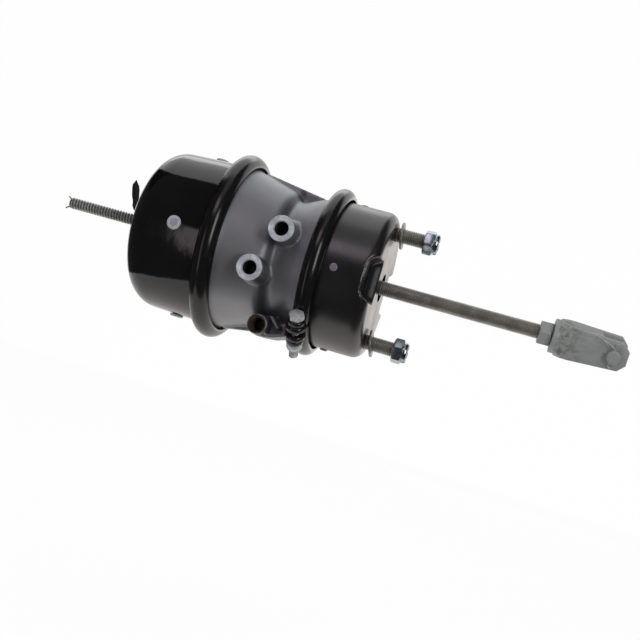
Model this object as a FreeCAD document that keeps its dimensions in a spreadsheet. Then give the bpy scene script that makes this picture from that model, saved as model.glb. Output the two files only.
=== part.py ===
"""Tandem air brake chamber: a diaphragm service chamber with a clamped-on spring brake chamber.

Frame, in millimetres: the origin is the centre of the mounting face, +X runs out along the
pushrod, +Z runs through the two mounting studs, and the air ports point towards -Y.
The rest pose is the spring held back by its release bolt, with the pushrod retracted.
"""
import FreeCAD
import Part
import Sketcher
import math
import os

from FreeCAD import Placement, Rotation, Vector

doc = FreeCAD.newDocument("brake_chamber")
sheet = doc.addObject("Spreadsheet::Sheet", "sizes")
nodes = {}


class Size:
    """A number together with the expression that ties it to the sheet of sizes."""

    def __init__(self, value, text):
        self.value = float(value)
        self.text = text

    def joined(self, other, sign, value, flip=False):
        term = other if isinstance(other, Size) else Size(other, repr(float(other)))
        first, second = (term, self) if flip else (self, term)
        return Size(value, f"({first.text} {sign} {second.text})")

    def __add__(self, other):
        return self.joined(other, "+", self.value + float(other))

    def __radd__(self, other):
        return self.joined(other, "+", float(other) + self.value, True)

    def __sub__(self, other):
        return self.joined(other, "-", self.value - float(other))

    def __rsub__(self, other):
        return self.joined(other, "-", float(other) - self.value, True)

    def __mul__(self, other):
        return self.joined(other, "*", self.value * float(other))

    def __rmul__(self, other):
        return self.joined(other, "*", float(other) * self.value, True)

    def __truediv__(self, other):
        return self.joined(other, "/", self.value / float(other))

    def __neg__(self):
        return Size(-self.value, f"(0 - {self.text})")

    def __float__(self):
        return self.value


def size(name, value):
    """Writes one driving dimension into the sheet and returns it."""
    row = size.row = getattr(size, "row", 0) + 1
    sheet.set(f"A{row}", name)
    sheet.set(f"B{row}", str(value))
    sheet.setAlias(f"B{row}", name)
    return Size(value, f"sizes.{name}")


# Running gaps
seat_gap = size("seat_gap", 0.3)
slip_gap = size("slip_gap", 0.1)
running_gap = size("running_gap", 0.05)
bolt_gap = size("bolt_gap", 0.5)

# Stroke that both chambers share
stroke = size("stroke", 57)

# Service housing, a pressed steel cup
housing_radius = size("housing_radius", 80.5)
housing_wall = size("housing_wall", 2.8)
end_wall = size("end_wall", 3.5)
housing_corner = size("housing_corner", 12)
rod_hole_radius = size("rod_hole_radius", 15.5)
recess_offset = size("recess_offset", 39)
recess_half_width = size("recess_half_width", 24)
recess_depth = size("recess_depth", 11)
recess_draft = size("recess_draft", 30)
recess_round = size("recess_round", 4)

# Service joint, where the housing, the diaphragm and the casting meet
service_joint_back = size("service_joint_back", 63)
bead_thickness = size("bead_thickness", 4)
flange_thickness = size("flange_thickness", 3)
service_flange_width = size("service_flange_width", 7.5)
band_section_offset = size("band_section_offset", 3)
band_section_radius = size("band_section_radius", 9.5)
band_wall = size("band_wall", 2.5)

# Clamp bolt and the ears that it pulls together
clamp_bolt_angle = size("clamp_bolt_angle", 45)
clamp_bolt_reach = size("clamp_bolt_reach", 19.5)
clamp_ear_gap = size("clamp_ear_gap", 5)
clamp_ear_length = size("clamp_ear_length", 13.8)
clamp_ear_radius = size("clamp_ear_radius", 9.5)
clamp_bolt_radius = size("clamp_bolt_radius", 4.75)
clamp_bolt_flats = size("clamp_bolt_flats", 14.3)
clamp_head_height = size("clamp_head_height", 5.6)
clamp_nut_height = size("clamp_nut_height", 8.3)
clamp_bolt_end = size("clamp_bolt_end", 12)

# Mounting studs, their washers and lock nuts
stud_inset = size("stud_inset", 20.175)
stud_radius = size("stud_radius", 8)
stud_collar_radius = size("stud_collar_radius", 8.4)
stud_collar_length = size("stud_collar_length", 8)
stud_thread_radius = size("stud_thread_radius", 7.75)
stud_length = size("stud_length", 45.8)
stud_head_radius = size("stud_head_radius", 12.5)
stud_head_height = size("stud_head_height", 4.5)
stud_washer_start = size("stud_washer_start", 4.7)
stud_washer_radius = size("stud_washer_radius", 14.7)
stud_washer_thickness = size("stud_washer_thickness", 2.6)
stud_nut_start = size("stud_nut_start", 30.4)
stud_nut_flats = size("stud_nut_flats", 24)
stud_nut_height = size("stud_nut_height", 11.2)
stud_nut_collar_radius = size("stud_nut_collar_radius", 11.2)
stud_nut_collar_length = size("stud_nut_collar_length", 4.6)

# Vent plugs of the two housings
small_plug_back = size("small_plug_back", 42)
small_plug_radius = size("small_plug_radius", 4.3)
small_plug_head = size("small_plug_head", 1.6)
small_plug_stem = size("small_plug_stem", 2.9)
large_plug_back = size("large_plug_back", 212.5)
large_plug_radius = size("large_plug_radius", 7.5)
large_plug_head = size("large_plug_head", 3.4)
large_plug_stem = size("large_plug_stem", 4.9)

# Push plate, pushrod, lock nut and clevis
push_plate_back = size("push_plate_back", 87)
push_plate_radius = size("push_plate_radius", 52)
push_plate_thickness = size("push_plate_thickness", 4)
push_plate_rim = size("push_plate_rim", 7)
rod_radius = size("rod_radius", 8)
rod_weld_radius = size("rod_weld_radius", 13)
rod_weld_length = size("rod_weld_length", 7)
rod_end = size("rod_end", 204)
lock_nut_start = size("lock_nut_start", 171.3)
lock_nut_height = size("lock_nut_height", 13)
lock_nut_flats = size("lock_nut_flats", 24)
clevis_start = size("clevis_start", 185)
clevis_length = size("clevis_length", 77)
clevis_width = size("clevis_width", 32)
clevis_turn = size("clevis_turn", 20)
clevis_slot = size("clevis_slot", 17)
clevis_slot_depth = size("clevis_slot_depth", 28)
clevis_pin_back = size("clevis_pin_back", 14.5)
clevis_nose_chamfer = size("clevis_nose_chamfer", 7)
clevis_height = size("clevis_height", 35.8)
clevis_nose_height = size("clevis_nose_height", 28.8)
clevis_spigot_radius = size("clevis_spigot_radius", 18.2)
clevis_spigot_length = size("clevis_spigot_length", 5.5)
clevis_turned_radius = size("clevis_turned_radius", 19)
clevis_turned_length = size("clevis_turned_length", 22)
clevis_pin_radius = size("clevis_pin_radius", 7)
clevis_pin_head_radius = size("clevis_pin_head_radius", 9.5)
clevis_pin_head = size("clevis_pin_head", 3.5)
clevis_pin_tail = size("clevis_pin_tail", 8)
clevis_split_radius = size("clevis_split_radius", 1.6)

# Flange casting between the chambers
spring_joint_back = size("spring_joint_back", 172)
spring_flange_width = size("spring_flange_width", 7.1)
cast_flange_thickness = size("cast_flange_thickness", 4)
cast_mouth_step = size("cast_mouth_step", 2.4)
cast_mouth_back = size("cast_mouth_back", 160)
cast_shoulder_radius = size("cast_shoulder_radius", 76)
cast_shoulder_back = size("cast_shoulder_back", 117)
cast_waist_radius = size("cast_waist_radius", 67.5)
cast_waist_back = size("cast_waist_back", 108)
cast_waist_front = size("cast_waist_front", 103)
cast_flare_step = size("cast_flare_step", 4)
cast_flare_back = size("cast_flare_back", 83)
cast_wall = size("cast_wall", 4.8)
service_floor_back = size("service_floor_back", 94)
service_floor_radius = size("service_floor_radius", 57)
spring_floor_back = size("spring_floor_back", 114)
spring_floor_radius = size("spring_floor_radius", 58)
hub_back = size("hub_back", 128)
hub_radius = size("hub_radius", 28)
rib_thickness = size("rib_thickness", 6)
rib_rise = size("rib_rise", 1.2)

# Air ports, all pointing towards -Y
port_thread_radius = size("port_thread_radius", 7.25)
port_boss_radius = size("port_boss_radius", 13.5)
port_base_radius = size("port_base_radius", 16)
port_base_height = size("port_base_height", 9)
port_face_offset = size("port_face_offset", 97.5)
service_port_depth = size("service_port_depth", 36)
spring_port_depth = size("spring_port_depth", 25)
port_chamfer = size("port_chamfer", 0.8)
service_port_back = size("service_port_back", 100.6)
service_port_height = size("service_port_height", 21.8)
spring_port_back = size("spring_port_back", 120.8)
spring_port_height = size("spring_port_height", -23.9)
spare_port_back = size("spare_port_back", 105.5)
spare_port_height = size("spare_port_height", -75.5)
spare_port_face = size("spare_port_face", 63)
spare_boss_radius = size("spare_boss_radius", 12.2)
spare_boss_length = size("spare_boss_length", 56)
spare_port_depth = size("spare_port_depth", 30)
passage_radius = size("passage_radius", 3.5)

# Adapter pushrod that hands the spring force over to the service side
adapter_radius = size("adapter_radius", 14)
adapter_plate_radius = size("adapter_plate_radius", 42)
adapter_plate_thickness = size("adapter_plate_thickness", 4.5)
adapter_foot_radius = size("adapter_foot_radius", 24)
adapter_foot_thickness = size("adapter_foot_thickness", 5)
adapter_spring_room = size("adapter_spring_room", 5)
bush_wall = size("bush_wall", 3)
bush_length = size("bush_length", 15)
bush_back = size("bush_back", 105)
seal_radius = size("seal_radius", 1.9)
front_seal_back = size("front_seal_back", 101)
rear_seal_back = size("rear_seal_back", 124)

# Diaphragms
diaphragm_thickness = size("diaphragm_thickness", 3)
bead_step = size("bead_step", 0.5)
spring_bead_step = size("spring_bead_step", 3.4)
plate_land_radius = size("plate_land_radius", 55)
pressure_land_radius = size("pressure_land_radius", 64)

# Spring housing
spring_housing_radius = size("spring_housing_radius", 90.4)
spring_housing_rear_radius = size("spring_housing_rear_radius", 87.2)
spring_housing_back = size("spring_housing_back", 268)
spring_housing_corner = size("spring_housing_corner", 28)
spring_housing_wall = size("spring_housing_wall", 3.5)
ring_section_offset = size("ring_section_offset", 1.9)
ring_section_radius = size("ring_section_radius", 11)
ring_wall = size("ring_wall", 2.6)

# Pressure plate and power spring
pressure_plate_radius = size("pressure_plate_radius", 66)
pressure_plate_thickness = size("pressure_plate_thickness", 8)
pressure_rim_wall = size("pressure_rim_wall", 5)
pressure_rim_length = size("pressure_rim_length", 7)
pressure_hub_radius = size("pressure_hub_radius", 20)
pressure_hub_length = size("pressure_hub_length", 18)
power_wire_radius = size("power_wire_radius", 6)
power_rear_radius = size("power_rear_radius", 60)
power_front_radius = size("power_front_radius", 42)
power_turns = size("power_turns", 4)

# Return springs
return_wire_radius = size("return_wire_radius", 1.8)
return_plate_radius = size("return_plate_radius", 42)
return_wall_radius = size("return_wall_radius", 28)
return_turns = size("return_turns", 5)
adapter_wire_radius = size("adapter_wire_radius", 1.4)
adapter_spring_floor_radius = size("adapter_spring_floor_radius", 38)
adapter_spring_plate_radius = size("adapter_spring_plate_radius", 31)
adapter_turns = size("adapter_turns", 5)

# Release bolt and what sits on it
release_radius = size("release_radius", 6.5)
release_end_back = size("release_end_back", 373)
release_head_length = size("release_head_length", 22)
release_head_width = size("release_head_width", 11)
release_head_height = size("release_head_height", 7)
release_pocket_radius = size("release_pocket_radius", 13)
release_hole_radius = size("release_hole_radius", 8)
release_washer_radius = size("release_washer_radius", 15)
release_washer_thickness = size("release_washer_thickness", 3)
release_nut_flats = size("release_nut_flats", 24)
release_nut_height = size("release_nut_height", 15)
release_split_back = size("release_split_back", 368.5)
release_split_radius = size("release_split_radius", 1.3)
strap_ring_radius = size("strap_ring_radius", 12)
strap_thickness = size("strap_thickness", 3)
strap_width = size("strap_width", 14)
strap_height = size("strap_height", 45)
strap_lean = size("strap_lean", 15)

along_x = Rotation(Vector(0, 1, 0), 90)
towards_port = Rotation(Vector(1, 0, 0), 90)


def bind(item, prop, amount):
    """Ties one property to the sheet, or sets it where the amount is a plain number."""
    if isinstance(amount, Size):
        item.setExpression(prop, amount.text)
    else:
        setattr(item, prop, amount)


def place(item, rotation, x=0, y=0, z=0):
    item.Placement = Placement(Vector(float(x), float(y), float(z)), rotation)
    for letter, amount in (("x", x), ("y", y), ("z", z)):
        if isinstance(amount, Size):
            item.setExpression(f"Placement.Base.{letter}", amount.text)
    return item


def cylinder(name, radius, height, rotation=along_x, x=0, y=0, z=0):
    item = doc.addObject("Part::Cylinder", name)
    bind(item, "Radius", radius)
    bind(item, "Height", height)
    return place(item, rotation, x, y, z)


def block(name, length, width, height, x=0, y=0, z=0):
    """A box centred on Y and Z that starts at x."""
    item = doc.addObject("Part::Box", name)
    bind(item, "Length", length)
    bind(item, "Width", width)
    bind(item, "Height", height)
    return place(item, Rotation(), x, y - width / 2, z - height / 2)


def cut(name, base, tool):
    item = doc.addObject("Part::Cut", name)
    item.Base = base
    item.Tool = tool
    return item


def common(name, base, tool):
    item = doc.addObject("Part::Common", name)
    item.Base = base
    item.Tool = tool
    return item


def fused(name, pieces):
    item = doc.addObject("Part::MultiFuse", name)
    item.Shapes = pieces
    return item


def grouped(name, pieces):
    item = doc.addObject("Part::Compound", name)
    item.Links = pieces
    return item


def node(name, item):
    """Names a finished sub-part."""
    item.Label = name
    nodes[name] = item
    return item


def sketch_on(body, role, name):
    plane = [feature for feature in body.Origin.OriginFeatures if feature.Role == role][0]
    sketch = body.newObject("Sketcher::SketchObject", name)
    sketch.AttachmentSupport = [(plane, "")]
    sketch.MapMode = "FlatFace"
    return sketch


def draw(sketch, corners):
    """Closed outline of straight lines with every corner tied to the sheet."""
    count = len(corners)
    first = sketch.GeometryCount
    for index in range(count):
        start = corners[index]
        end = corners[(index + 1) % count]
        sketch.addGeometry(
            Part.LineSegment(
                Vector(float(start[0]), float(start[1]), 0), Vector(float(end[0]), float(end[1]), 0)
            ),
            False,
        )
    for index in range(count):
        sketch.addConstraint(
            Sketcher.Constraint("Coincident", first + index, 2, first + (index + 1) % count, 1)
        )
    for index, corner in enumerate(corners):
        for kind, amount in (("DistanceX", corner[0]), ("DistanceY", corner[1])):
            number = sketch.addConstraint(
                Sketcher.Constraint(kind, -1, 1, first + index, 1, float(amount))
            )
            if isinstance(amount, Size):
                sketch.setExpression(f"Constraints[{number}]", amount.text)


def circles_at(shape, x, radius):
    """Names of the circular edges about the X axis at one place and radius."""
    found = []
    for index, edge in enumerate(shape.Edges, 1):
        curve = edge.Curve
        if not isinstance(curve, Part.Circle):
            continue
        off_axis = math.hypot(curve.Center.y, curve.Center.z)
        if off_axis < 1e-4 and abs(curve.Center.x - x) < 1e-4 and abs(curve.Radius - radius) < 1e-4:
            found.append(f"Edge{index}")
    return found


def turned(name, corners, rounds=()):
    """Body turned about the X axis from (x, radius) corners; rounds are (corner number, radius)."""
    body = doc.addObject("PartDesign::Body", name)
    sketch = sketch_on(body, "XY_Plane", f"{name}_profile")
    draw(sketch, corners)
    turn = body.newObject("PartDesign::Revolution", f"{name}_turn")
    turn.Profile = sketch
    turn.ReferenceAxis = (sketch, ["H_Axis"])
    turn.Angle = 360
    doc.recompute()
    last = turn
    for number, radius in rounds:
        x, r = corners[number]
        edges = circles_at(last.Shape, float(x), float(r))
        fillet = body.newObject("PartDesign::Fillet", f"{name}_round_{number}")
        fillet.Base = (last, edges)
        bind(fillet, "Radius", radius)
        doc.recompute()
        last = fillet
    body.Tip = last
    return body


def hexagon(name, flats, start, height, rotation=along_x, y=0, z=0):
    """Six-sided prism with its corners turned down at both ends."""
    circumradius = flats / math.sqrt(3)
    chamfer = flats * 0.07
    prism = doc.addObject("Part::Prism", f"{name}_prism")
    prism.Polygon = 6
    bind(prism, "Circumradius", circumradius)
    bind(prism, "Height", height)
    barrel = turned(
        f"{name}_barrel",
        [
            (height * 0, flats * 0),
            (height * 0, circumradius - chamfer),
            (chamfer * 0.55, circumradius),
            (height - chamfer * 0.55, circumradius),
            (height, circumradius - chamfer),
            (height, flats * 0),
        ],
    )
    barrel.Placement = Placement(Vector(0, 0, 0), Rotation(Vector(0, 1, 0), -90))
    item = common(f"{name}_blank", prism, barrel)
    return place(item, rotation, start, y, z)


def spring(name, wire_radius, first_x, first_radius, last_x, last_radius, turns):
    """Conical coil about the X axis, given by the wire's centre at its two ends."""
    height = last_x - first_x
    helix = doc.addObject("Part::Helix", f"{name}_path")
    bind(helix, "Pitch", height / turns)
    bind(helix, "Height", height)
    bind(helix, "Radius", first_radius)
    lean = math.degrees(math.atan2(float(last_radius - first_radius), float(height)))
    helix.Angle = lean
    angle_text = f"atan(({last_radius.text} - {first_radius.text}) / {height.text})"
    helix.setExpression("Angle", angle_text)
    wire = doc.addObject("Part::Circle", f"{name}_wire")
    bind(wire, "Radius", wire_radius)
    place(wire, Rotation(Vector(1, 0, 0), 90), x=first_radius)
    sweep = doc.addObject("Part::Sweep", name)
    sweep.Sections = [wire]
    sweep.Spine = (helix, ["Edge1"])
    sweep.Solid = True
    sweep.Frenet = True
    return place(sweep, along_x, first_x)


# Planes along the axis, all measured back from the mounting face
service_joint = -service_joint_back
service_seat = service_joint + bead_thickness / 2
casting_seat = service_joint - bead_thickness / 2
spring_joint = -spring_joint_back
spring_seat = spring_joint - bead_thickness / 2
casting_rear_seat = spring_joint + bead_thickness / 2
hub_rear = -hub_back
service_floor = -service_floor_back
spring_floor = -spring_floor_back
adapter_front = hub_rear - stroke - adapter_spring_room
adapter_rear = adapter_front - adapter_plate_thickness
pressure_front = adapter_rear - seat_gap * 2 - diaphragm_thickness
pressure_seat = pressure_front - pressure_plate_thickness
housing_rear = -spring_housing_back
housing_rear_inside = housing_rear + spring_housing_wall
push_plate_rear = -push_plate_back
service_membrane_front = push_plate_rear - seat_gap
service_membrane_rear = service_membrane_front - diaphragm_thickness
adapter_foot_front = service_membrane_rear - seat_gap
stud_height = housing_radius - stud_inset

# Radii that follow the two housings
service_flange_radius = housing_radius + service_flange_width
band_section_centre = housing_radius + band_section_offset
clamp_bolt_offset = housing_radius + clamp_bolt_reach
bead_inner_radius = housing_radius + bead_step
cast_flare_radius = housing_radius - cast_flare_step
spring_flange_radius = spring_housing_radius + spring_flange_width
ring_section_centre = spring_housing_radius + ring_section_offset
spring_bead_inner_radius = spring_housing_radius - spring_bead_step
cast_mouth_radius = spring_housing_radius - cast_mouth_step


def service_housing():
    """Pressed cup with a recess on two sides, a flange at its mouth and holes for its fasteners."""
    flange_front = service_seat + flange_thickness
    outside = turned(
        "service_shell",
        [
            (end_wall * 0, end_wall * 0),
            (end_wall * 0, housing_radius),
            (flange_front, housing_radius),
            (flange_front, service_flange_radius),
            (service_seat, service_flange_radius),
            (service_seat, end_wall * 0),
        ],
        [(1, housing_corner), (2, flange_thickness)],
    )
    outside = cut("service_pressing", outside, recess_tools("outer_recess", end_wall * 0, housing_wall * 0))
    inner_radius = housing_radius - housing_wall
    inside = turned(
        "service_cavity",
        [
            (-end_wall, end_wall * 0),
            (-end_wall, inner_radius),
            (service_seat - bead_thickness, inner_radius),
            (service_seat - bead_thickness, end_wall * 0),
        ],
        [(1, housing_corner - housing_wall)],
    )
    inside = cut("service_room", inside, recess_tools("inner_recess", end_wall, housing_wall / 2))
    shell = cut("service_cup", outside, inside)
    holes = [cylinder("rod_hole", rod_hole_radius, end_wall * 4, x=-end_wall * 2)]
    for side in (1, -1):
        holes.append(
            cylinder(
                f"stud_hole_{side + 1}",
                stud_collar_radius + slip_gap,
                end_wall * 4,
                x=-end_wall * 2,
                z=stud_height * side,
            )
        )
    for number in range(4):
        holes.append(radial_hole(f"small_vent_{number}", small_plug_stem, small_plug_back, housing_radius, number))
    return node("service_housing", cut("service_housing", shell, fused("service_holes", holes)))


def recess_tools(name, start, offset):
    """Two drafted blocks with rounded edges, one for the recess on each side of the end."""
    near = recess_offset - offset
    far = housing_radius + recess_depth
    half = recess_half_width + offset
    tools = []
    for side, word in ((1, "far"), (-1, "near")):
        body = doc.addObject("PartDesign::Body", f"{name}_{word}")
        sketch = sketch_on(body, "YZ_Plane", f"{name}_{word}_outline")
        sketch.AttachmentOffset = Placement(Vector(0, 0, -float(start)), Rotation())
        sketch.setExpression("AttachmentOffset.Base.z", f"0 - {start.text}")
        draw(sketch, [(near * side, -half), (far * side, -half), (far * side, half), (near * side, half)])
        pad = body.newObject("PartDesign::Pad", f"{name}_{word}_pad")
        pad.Profile = sketch
        bind(pad, "Length", recess_depth)
        pad.setExpression("TaperAngle", f"0 - {recess_draft.text}")
        pad.Reversed = True
        doc.recompute()
        edges = []
        for index, edge in enumerate(pad.Shape.Edges, 1):
            box = edge.BoundBox
            on_face = box.XMin > -float(start) - 1e-4
            if not on_face and abs(box.Center.y) < float(far) - float(recess_depth):
                edges.append(f"Edge{index}")
        fillet = body.newObject("PartDesign::Fillet", f"{name}_{word}_round")
        fillet.Base = (pad, edges)
        bind(fillet, "Radius", recess_round)
        body.Tip = fillet
        tools.append(body)
    return fused(name, tools)


def radial_rotation(number):
    """Turns the Z axis to one of the four sides: up, away, down and towards the viewer."""
    return Rotation(Vector(1, 0, 0), 90 * number)


def radial_hole(name, radius, back, outer_radius, number):
    turn = radial_rotation(number)
    inner = outer_radius * 0.9
    direction = turn.multVec(Vector(0, 0, 1))
    return cylinder(
        name, radius + slip_gap, outer_radius * 0.15, turn, -back, inner * direction.y, inner * direction.z
    )


def vent_plugs(name, radius, head, stem, back, surface, wall):
    plugs = []
    for number in range(4):
        turn = radial_rotation(number)
        direction = turn.multVec(Vector(0, 0, 1))
        parts = []
        for piece, r, low, height in (
            ("head", radius, surface + seat_gap, head),
            ("stem", stem, surface - wall - head / 2, wall + head / 2 + seat_gap * 2),
        ):
            parts.append(
                cylinder(
                    f"{name}_{piece}_{number}", r, height, turn, -back, low * direction.y, low * direction.z
                )
            )
        plugs.append(fused(f"{name}_{number}", parts))
    return node(name, grouped(name, plugs))


def clamp_hardware():
    """Split band round the service joint, pulled together by one bolt through its two ears."""
    centre = place(doc.addObject("Part::Torus", "band_outside"), along_x, service_joint)
    bind(centre, "Radius1", band_section_centre)
    bind(centre, "Radius2", band_section_radius)
    groove = place(doc.addObject("Part::Torus", "band_groove"), along_x, service_joint)
    bind(groove, "Radius1", band_section_centre)
    bind(groove, "Radius2", band_section_radius - band_wall)
    reach = clamp_ear_gap / 2 + clamp_ear_length
    along_bolt = Rotation(Vector(1, 0, 0), 180)
    ear_barrel = cylinder(
        "ear_barrel", clamp_ear_radius, reach * 2, along_bolt, service_joint, -clamp_bolt_offset, reach
    )
    ear_depth = clamp_bolt_offset - band_section_centre
    root_width = clamp_ear_radius * 1.7
    ear_root = block(
        "ear_root",
        root_width,
        ear_depth,
        reach * 2,
        service_joint - root_width / 2,
        -band_section_centre - ear_depth / 2,
    )
    blank = fused("band_blank", [centre, ear_barrel, ear_root])
    bore = cylinder("band_bore", band_section_centre, band_section_radius * 4, x=service_joint - band_section_radius * 2)
    gap = block(
        "band_gap",
        band_section_radius * 4,
        clamp_bolt_offset,
        clamp_ear_gap,
        service_joint - band_section_radius * 2,
        -clamp_bolt_offset,
    )
    hole = cylinder(
        "ear_hole",
        clamp_bolt_radius + bolt_gap,
        reach * 2.2,
        along_bolt,
        service_joint,
        -clamp_bolt_offset,
        reach * 1.1,
    )
    band = cut("service_clamp_band", blank, fused("band_cuts", [groove, bore, gap, hole]))
    node("service_clamp_band", turned_to_bolt(band))

    head = hexagon("clamp_head", clamp_bolt_flats, service_joint, clamp_head_height, Rotation(), -clamp_bolt_offset, reach)
    shank = cylinder(
        "clamp_shank",
        clamp_bolt_radius,
        reach * 2 + clamp_nut_height + clamp_bolt_end,
        along_bolt,
        service_joint,
        -clamp_bolt_offset,
        reach,
    )
    node("clamp_bolt", turned_to_bolt(fused("clamp_bolt", [head, shank])))
    nut = hexagon(
        "clamp_nut_hex",
        clamp_bolt_flats,
        service_joint,
        clamp_nut_height,
        Rotation(Vector(1, 0, 0), 180),
        -clamp_bolt_offset,
        -reach,
    )
    nut_bore = cylinder(
        "clamp_nut_bore",
        clamp_bolt_radius + slip_gap,
        clamp_nut_height * 3,
        along_bolt,
        service_joint,
        -clamp_bolt_offset,
        -reach + clamp_nut_height,
    )
    node("clamp_nut", turned_to_bolt(cut("clamp_nut", nut, nut_bore)))


def turned_to_bolt(item):
    """Turns what was made on the -Y side down to where the clamp bolt sits."""
    item.Placement = Placement(Vector(0, 0, 0), Rotation(Vector(1, 0, 0), float(clamp_bolt_angle)))
    item.setExpression("Placement.Rotation.Angle", clamp_bolt_angle.text)
    return item


def stud_hardware():
    studs, washers, nuts = [], [], []
    washer_start = stud_washer_start
    washer_bore = stud_collar_radius + seat_gap
    for side, name in ((1, "upper"), (-1, "lower")):
        height = stud_height * side
        stud = turned(
            f"{name}_stud",
            [
                (-end_wall - stud_head_height, end_wall * 0),
                (-end_wall - stud_head_height, stud_head_radius),
                (-end_wall - stud_head_height / 3, stud_head_radius),
                (-end_wall, stud_head_radius - stud_head_height * 2 / 3),
                (-end_wall, stud_collar_radius),
                (stud_collar_length, stud_collar_radius),
                (stud_collar_length, stud_radius),
                (stud_nut_start - seat_gap, stud_radius),
                (stud_nut_start - seat_gap, stud_thread_radius),
                (stud_length - stud_head_height / 3, stud_thread_radius),
                (stud_length, stud_thread_radius - stud_head_height / 3),
                (stud_length, end_wall * 0),
            ],
        )
        studs.append(place(stud, Rotation(), z=height))
        washer = turned(
            f"{name}_washer",
            [
                (washer_start, washer_bore),
                (washer_start, stud_washer_radius),
                (washer_start + stud_washer_thickness, stud_washer_radius),
                (washer_start + stud_washer_thickness, washer_bore),
            ],
        )
        washers.append(place(washer, Rotation(), z=height))
        hex_part = hexagon(f"{name}_nut_hex", stud_nut_flats, stud_nut_start, stud_nut_height, z=height)
        collar_start = stud_nut_start + stud_nut_height
        collar = turned(
            f"{name}_nut_collar",
            [
                (collar_start - seat_gap, end_wall * 0),
                (collar_start - seat_gap, stud_nut_collar_radius),
                (collar_start + stud_nut_collar_length * 0.6, stud_nut_collar_radius),
                (collar_start + stud_nut_collar_length, stud_nut_collar_radius - stud_nut_collar_length * 0.4),
                (collar_start + stud_nut_collar_length, end_wall * 0),
            ],
        )
        place(collar, Rotation(), z=height)
        bore = cylinder(
            f"{name}_nut_bore",
            stud_thread_radius + slip_gap,
            stud_nut_height * 3,
            x=stud_nut_start - stud_nut_height / 2,
            z=height,
        )
        nuts.append(cut(f"{name}_nut", fused(f"{name}_nut_blank", [hex_part, collar]), bore))
    node("mounting_studs", grouped("mounting_studs", studs))
    node("stud_washers", grouped("stud_washers", washers))
    node("stud_nuts", grouped("stud_nuts", nuts))


def push_plate_and_rod():
    plate_front = push_plate_rear + push_plate_thickness
    weld_front = plate_front + rod_weld_length
    bore = rod_radius + slip_gap
    plate = turned(
        "push_plate",
        [
            (push_plate_rear, bore),
            (push_plate_rear, push_plate_radius),
            (push_plate_rear + push_plate_rim, push_plate_radius),
            (push_plate_rear + push_plate_rim, push_plate_radius - push_plate_thickness * 0.8),
            (plate_front, push_plate_radius - push_plate_thickness * 0.8),
            (plate_front, rod_weld_radius),
            (weld_front, bore + seat_gap * 3),
            (weld_front, bore),
        ],
        [(1, push_plate_thickness * 0.7)],
    )
    node("push_plate", plate)
    rod = turned(
        "pushrod",
        [
            (push_plate_rear, rod_radius * 0),
            (push_plate_rear, rod_radius),
            (rod_end - rod_radius / 5, rod_radius),
            (rod_end, rod_radius * 0.8),
            (rod_end, rod_radius * 0),
        ],
    )
    node("pushrod", rod)
    blank = hexagon("lock_nut_hex", lock_nut_flats, lock_nut_start, lock_nut_height)
    hole = cylinder("lock_nut_bore", bore, lock_nut_height * 2, x=lock_nut_start - lock_nut_height / 2)
    node("pushrod_lock_nut", cut("pushrod_lock_nut", blank, hole))


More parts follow.
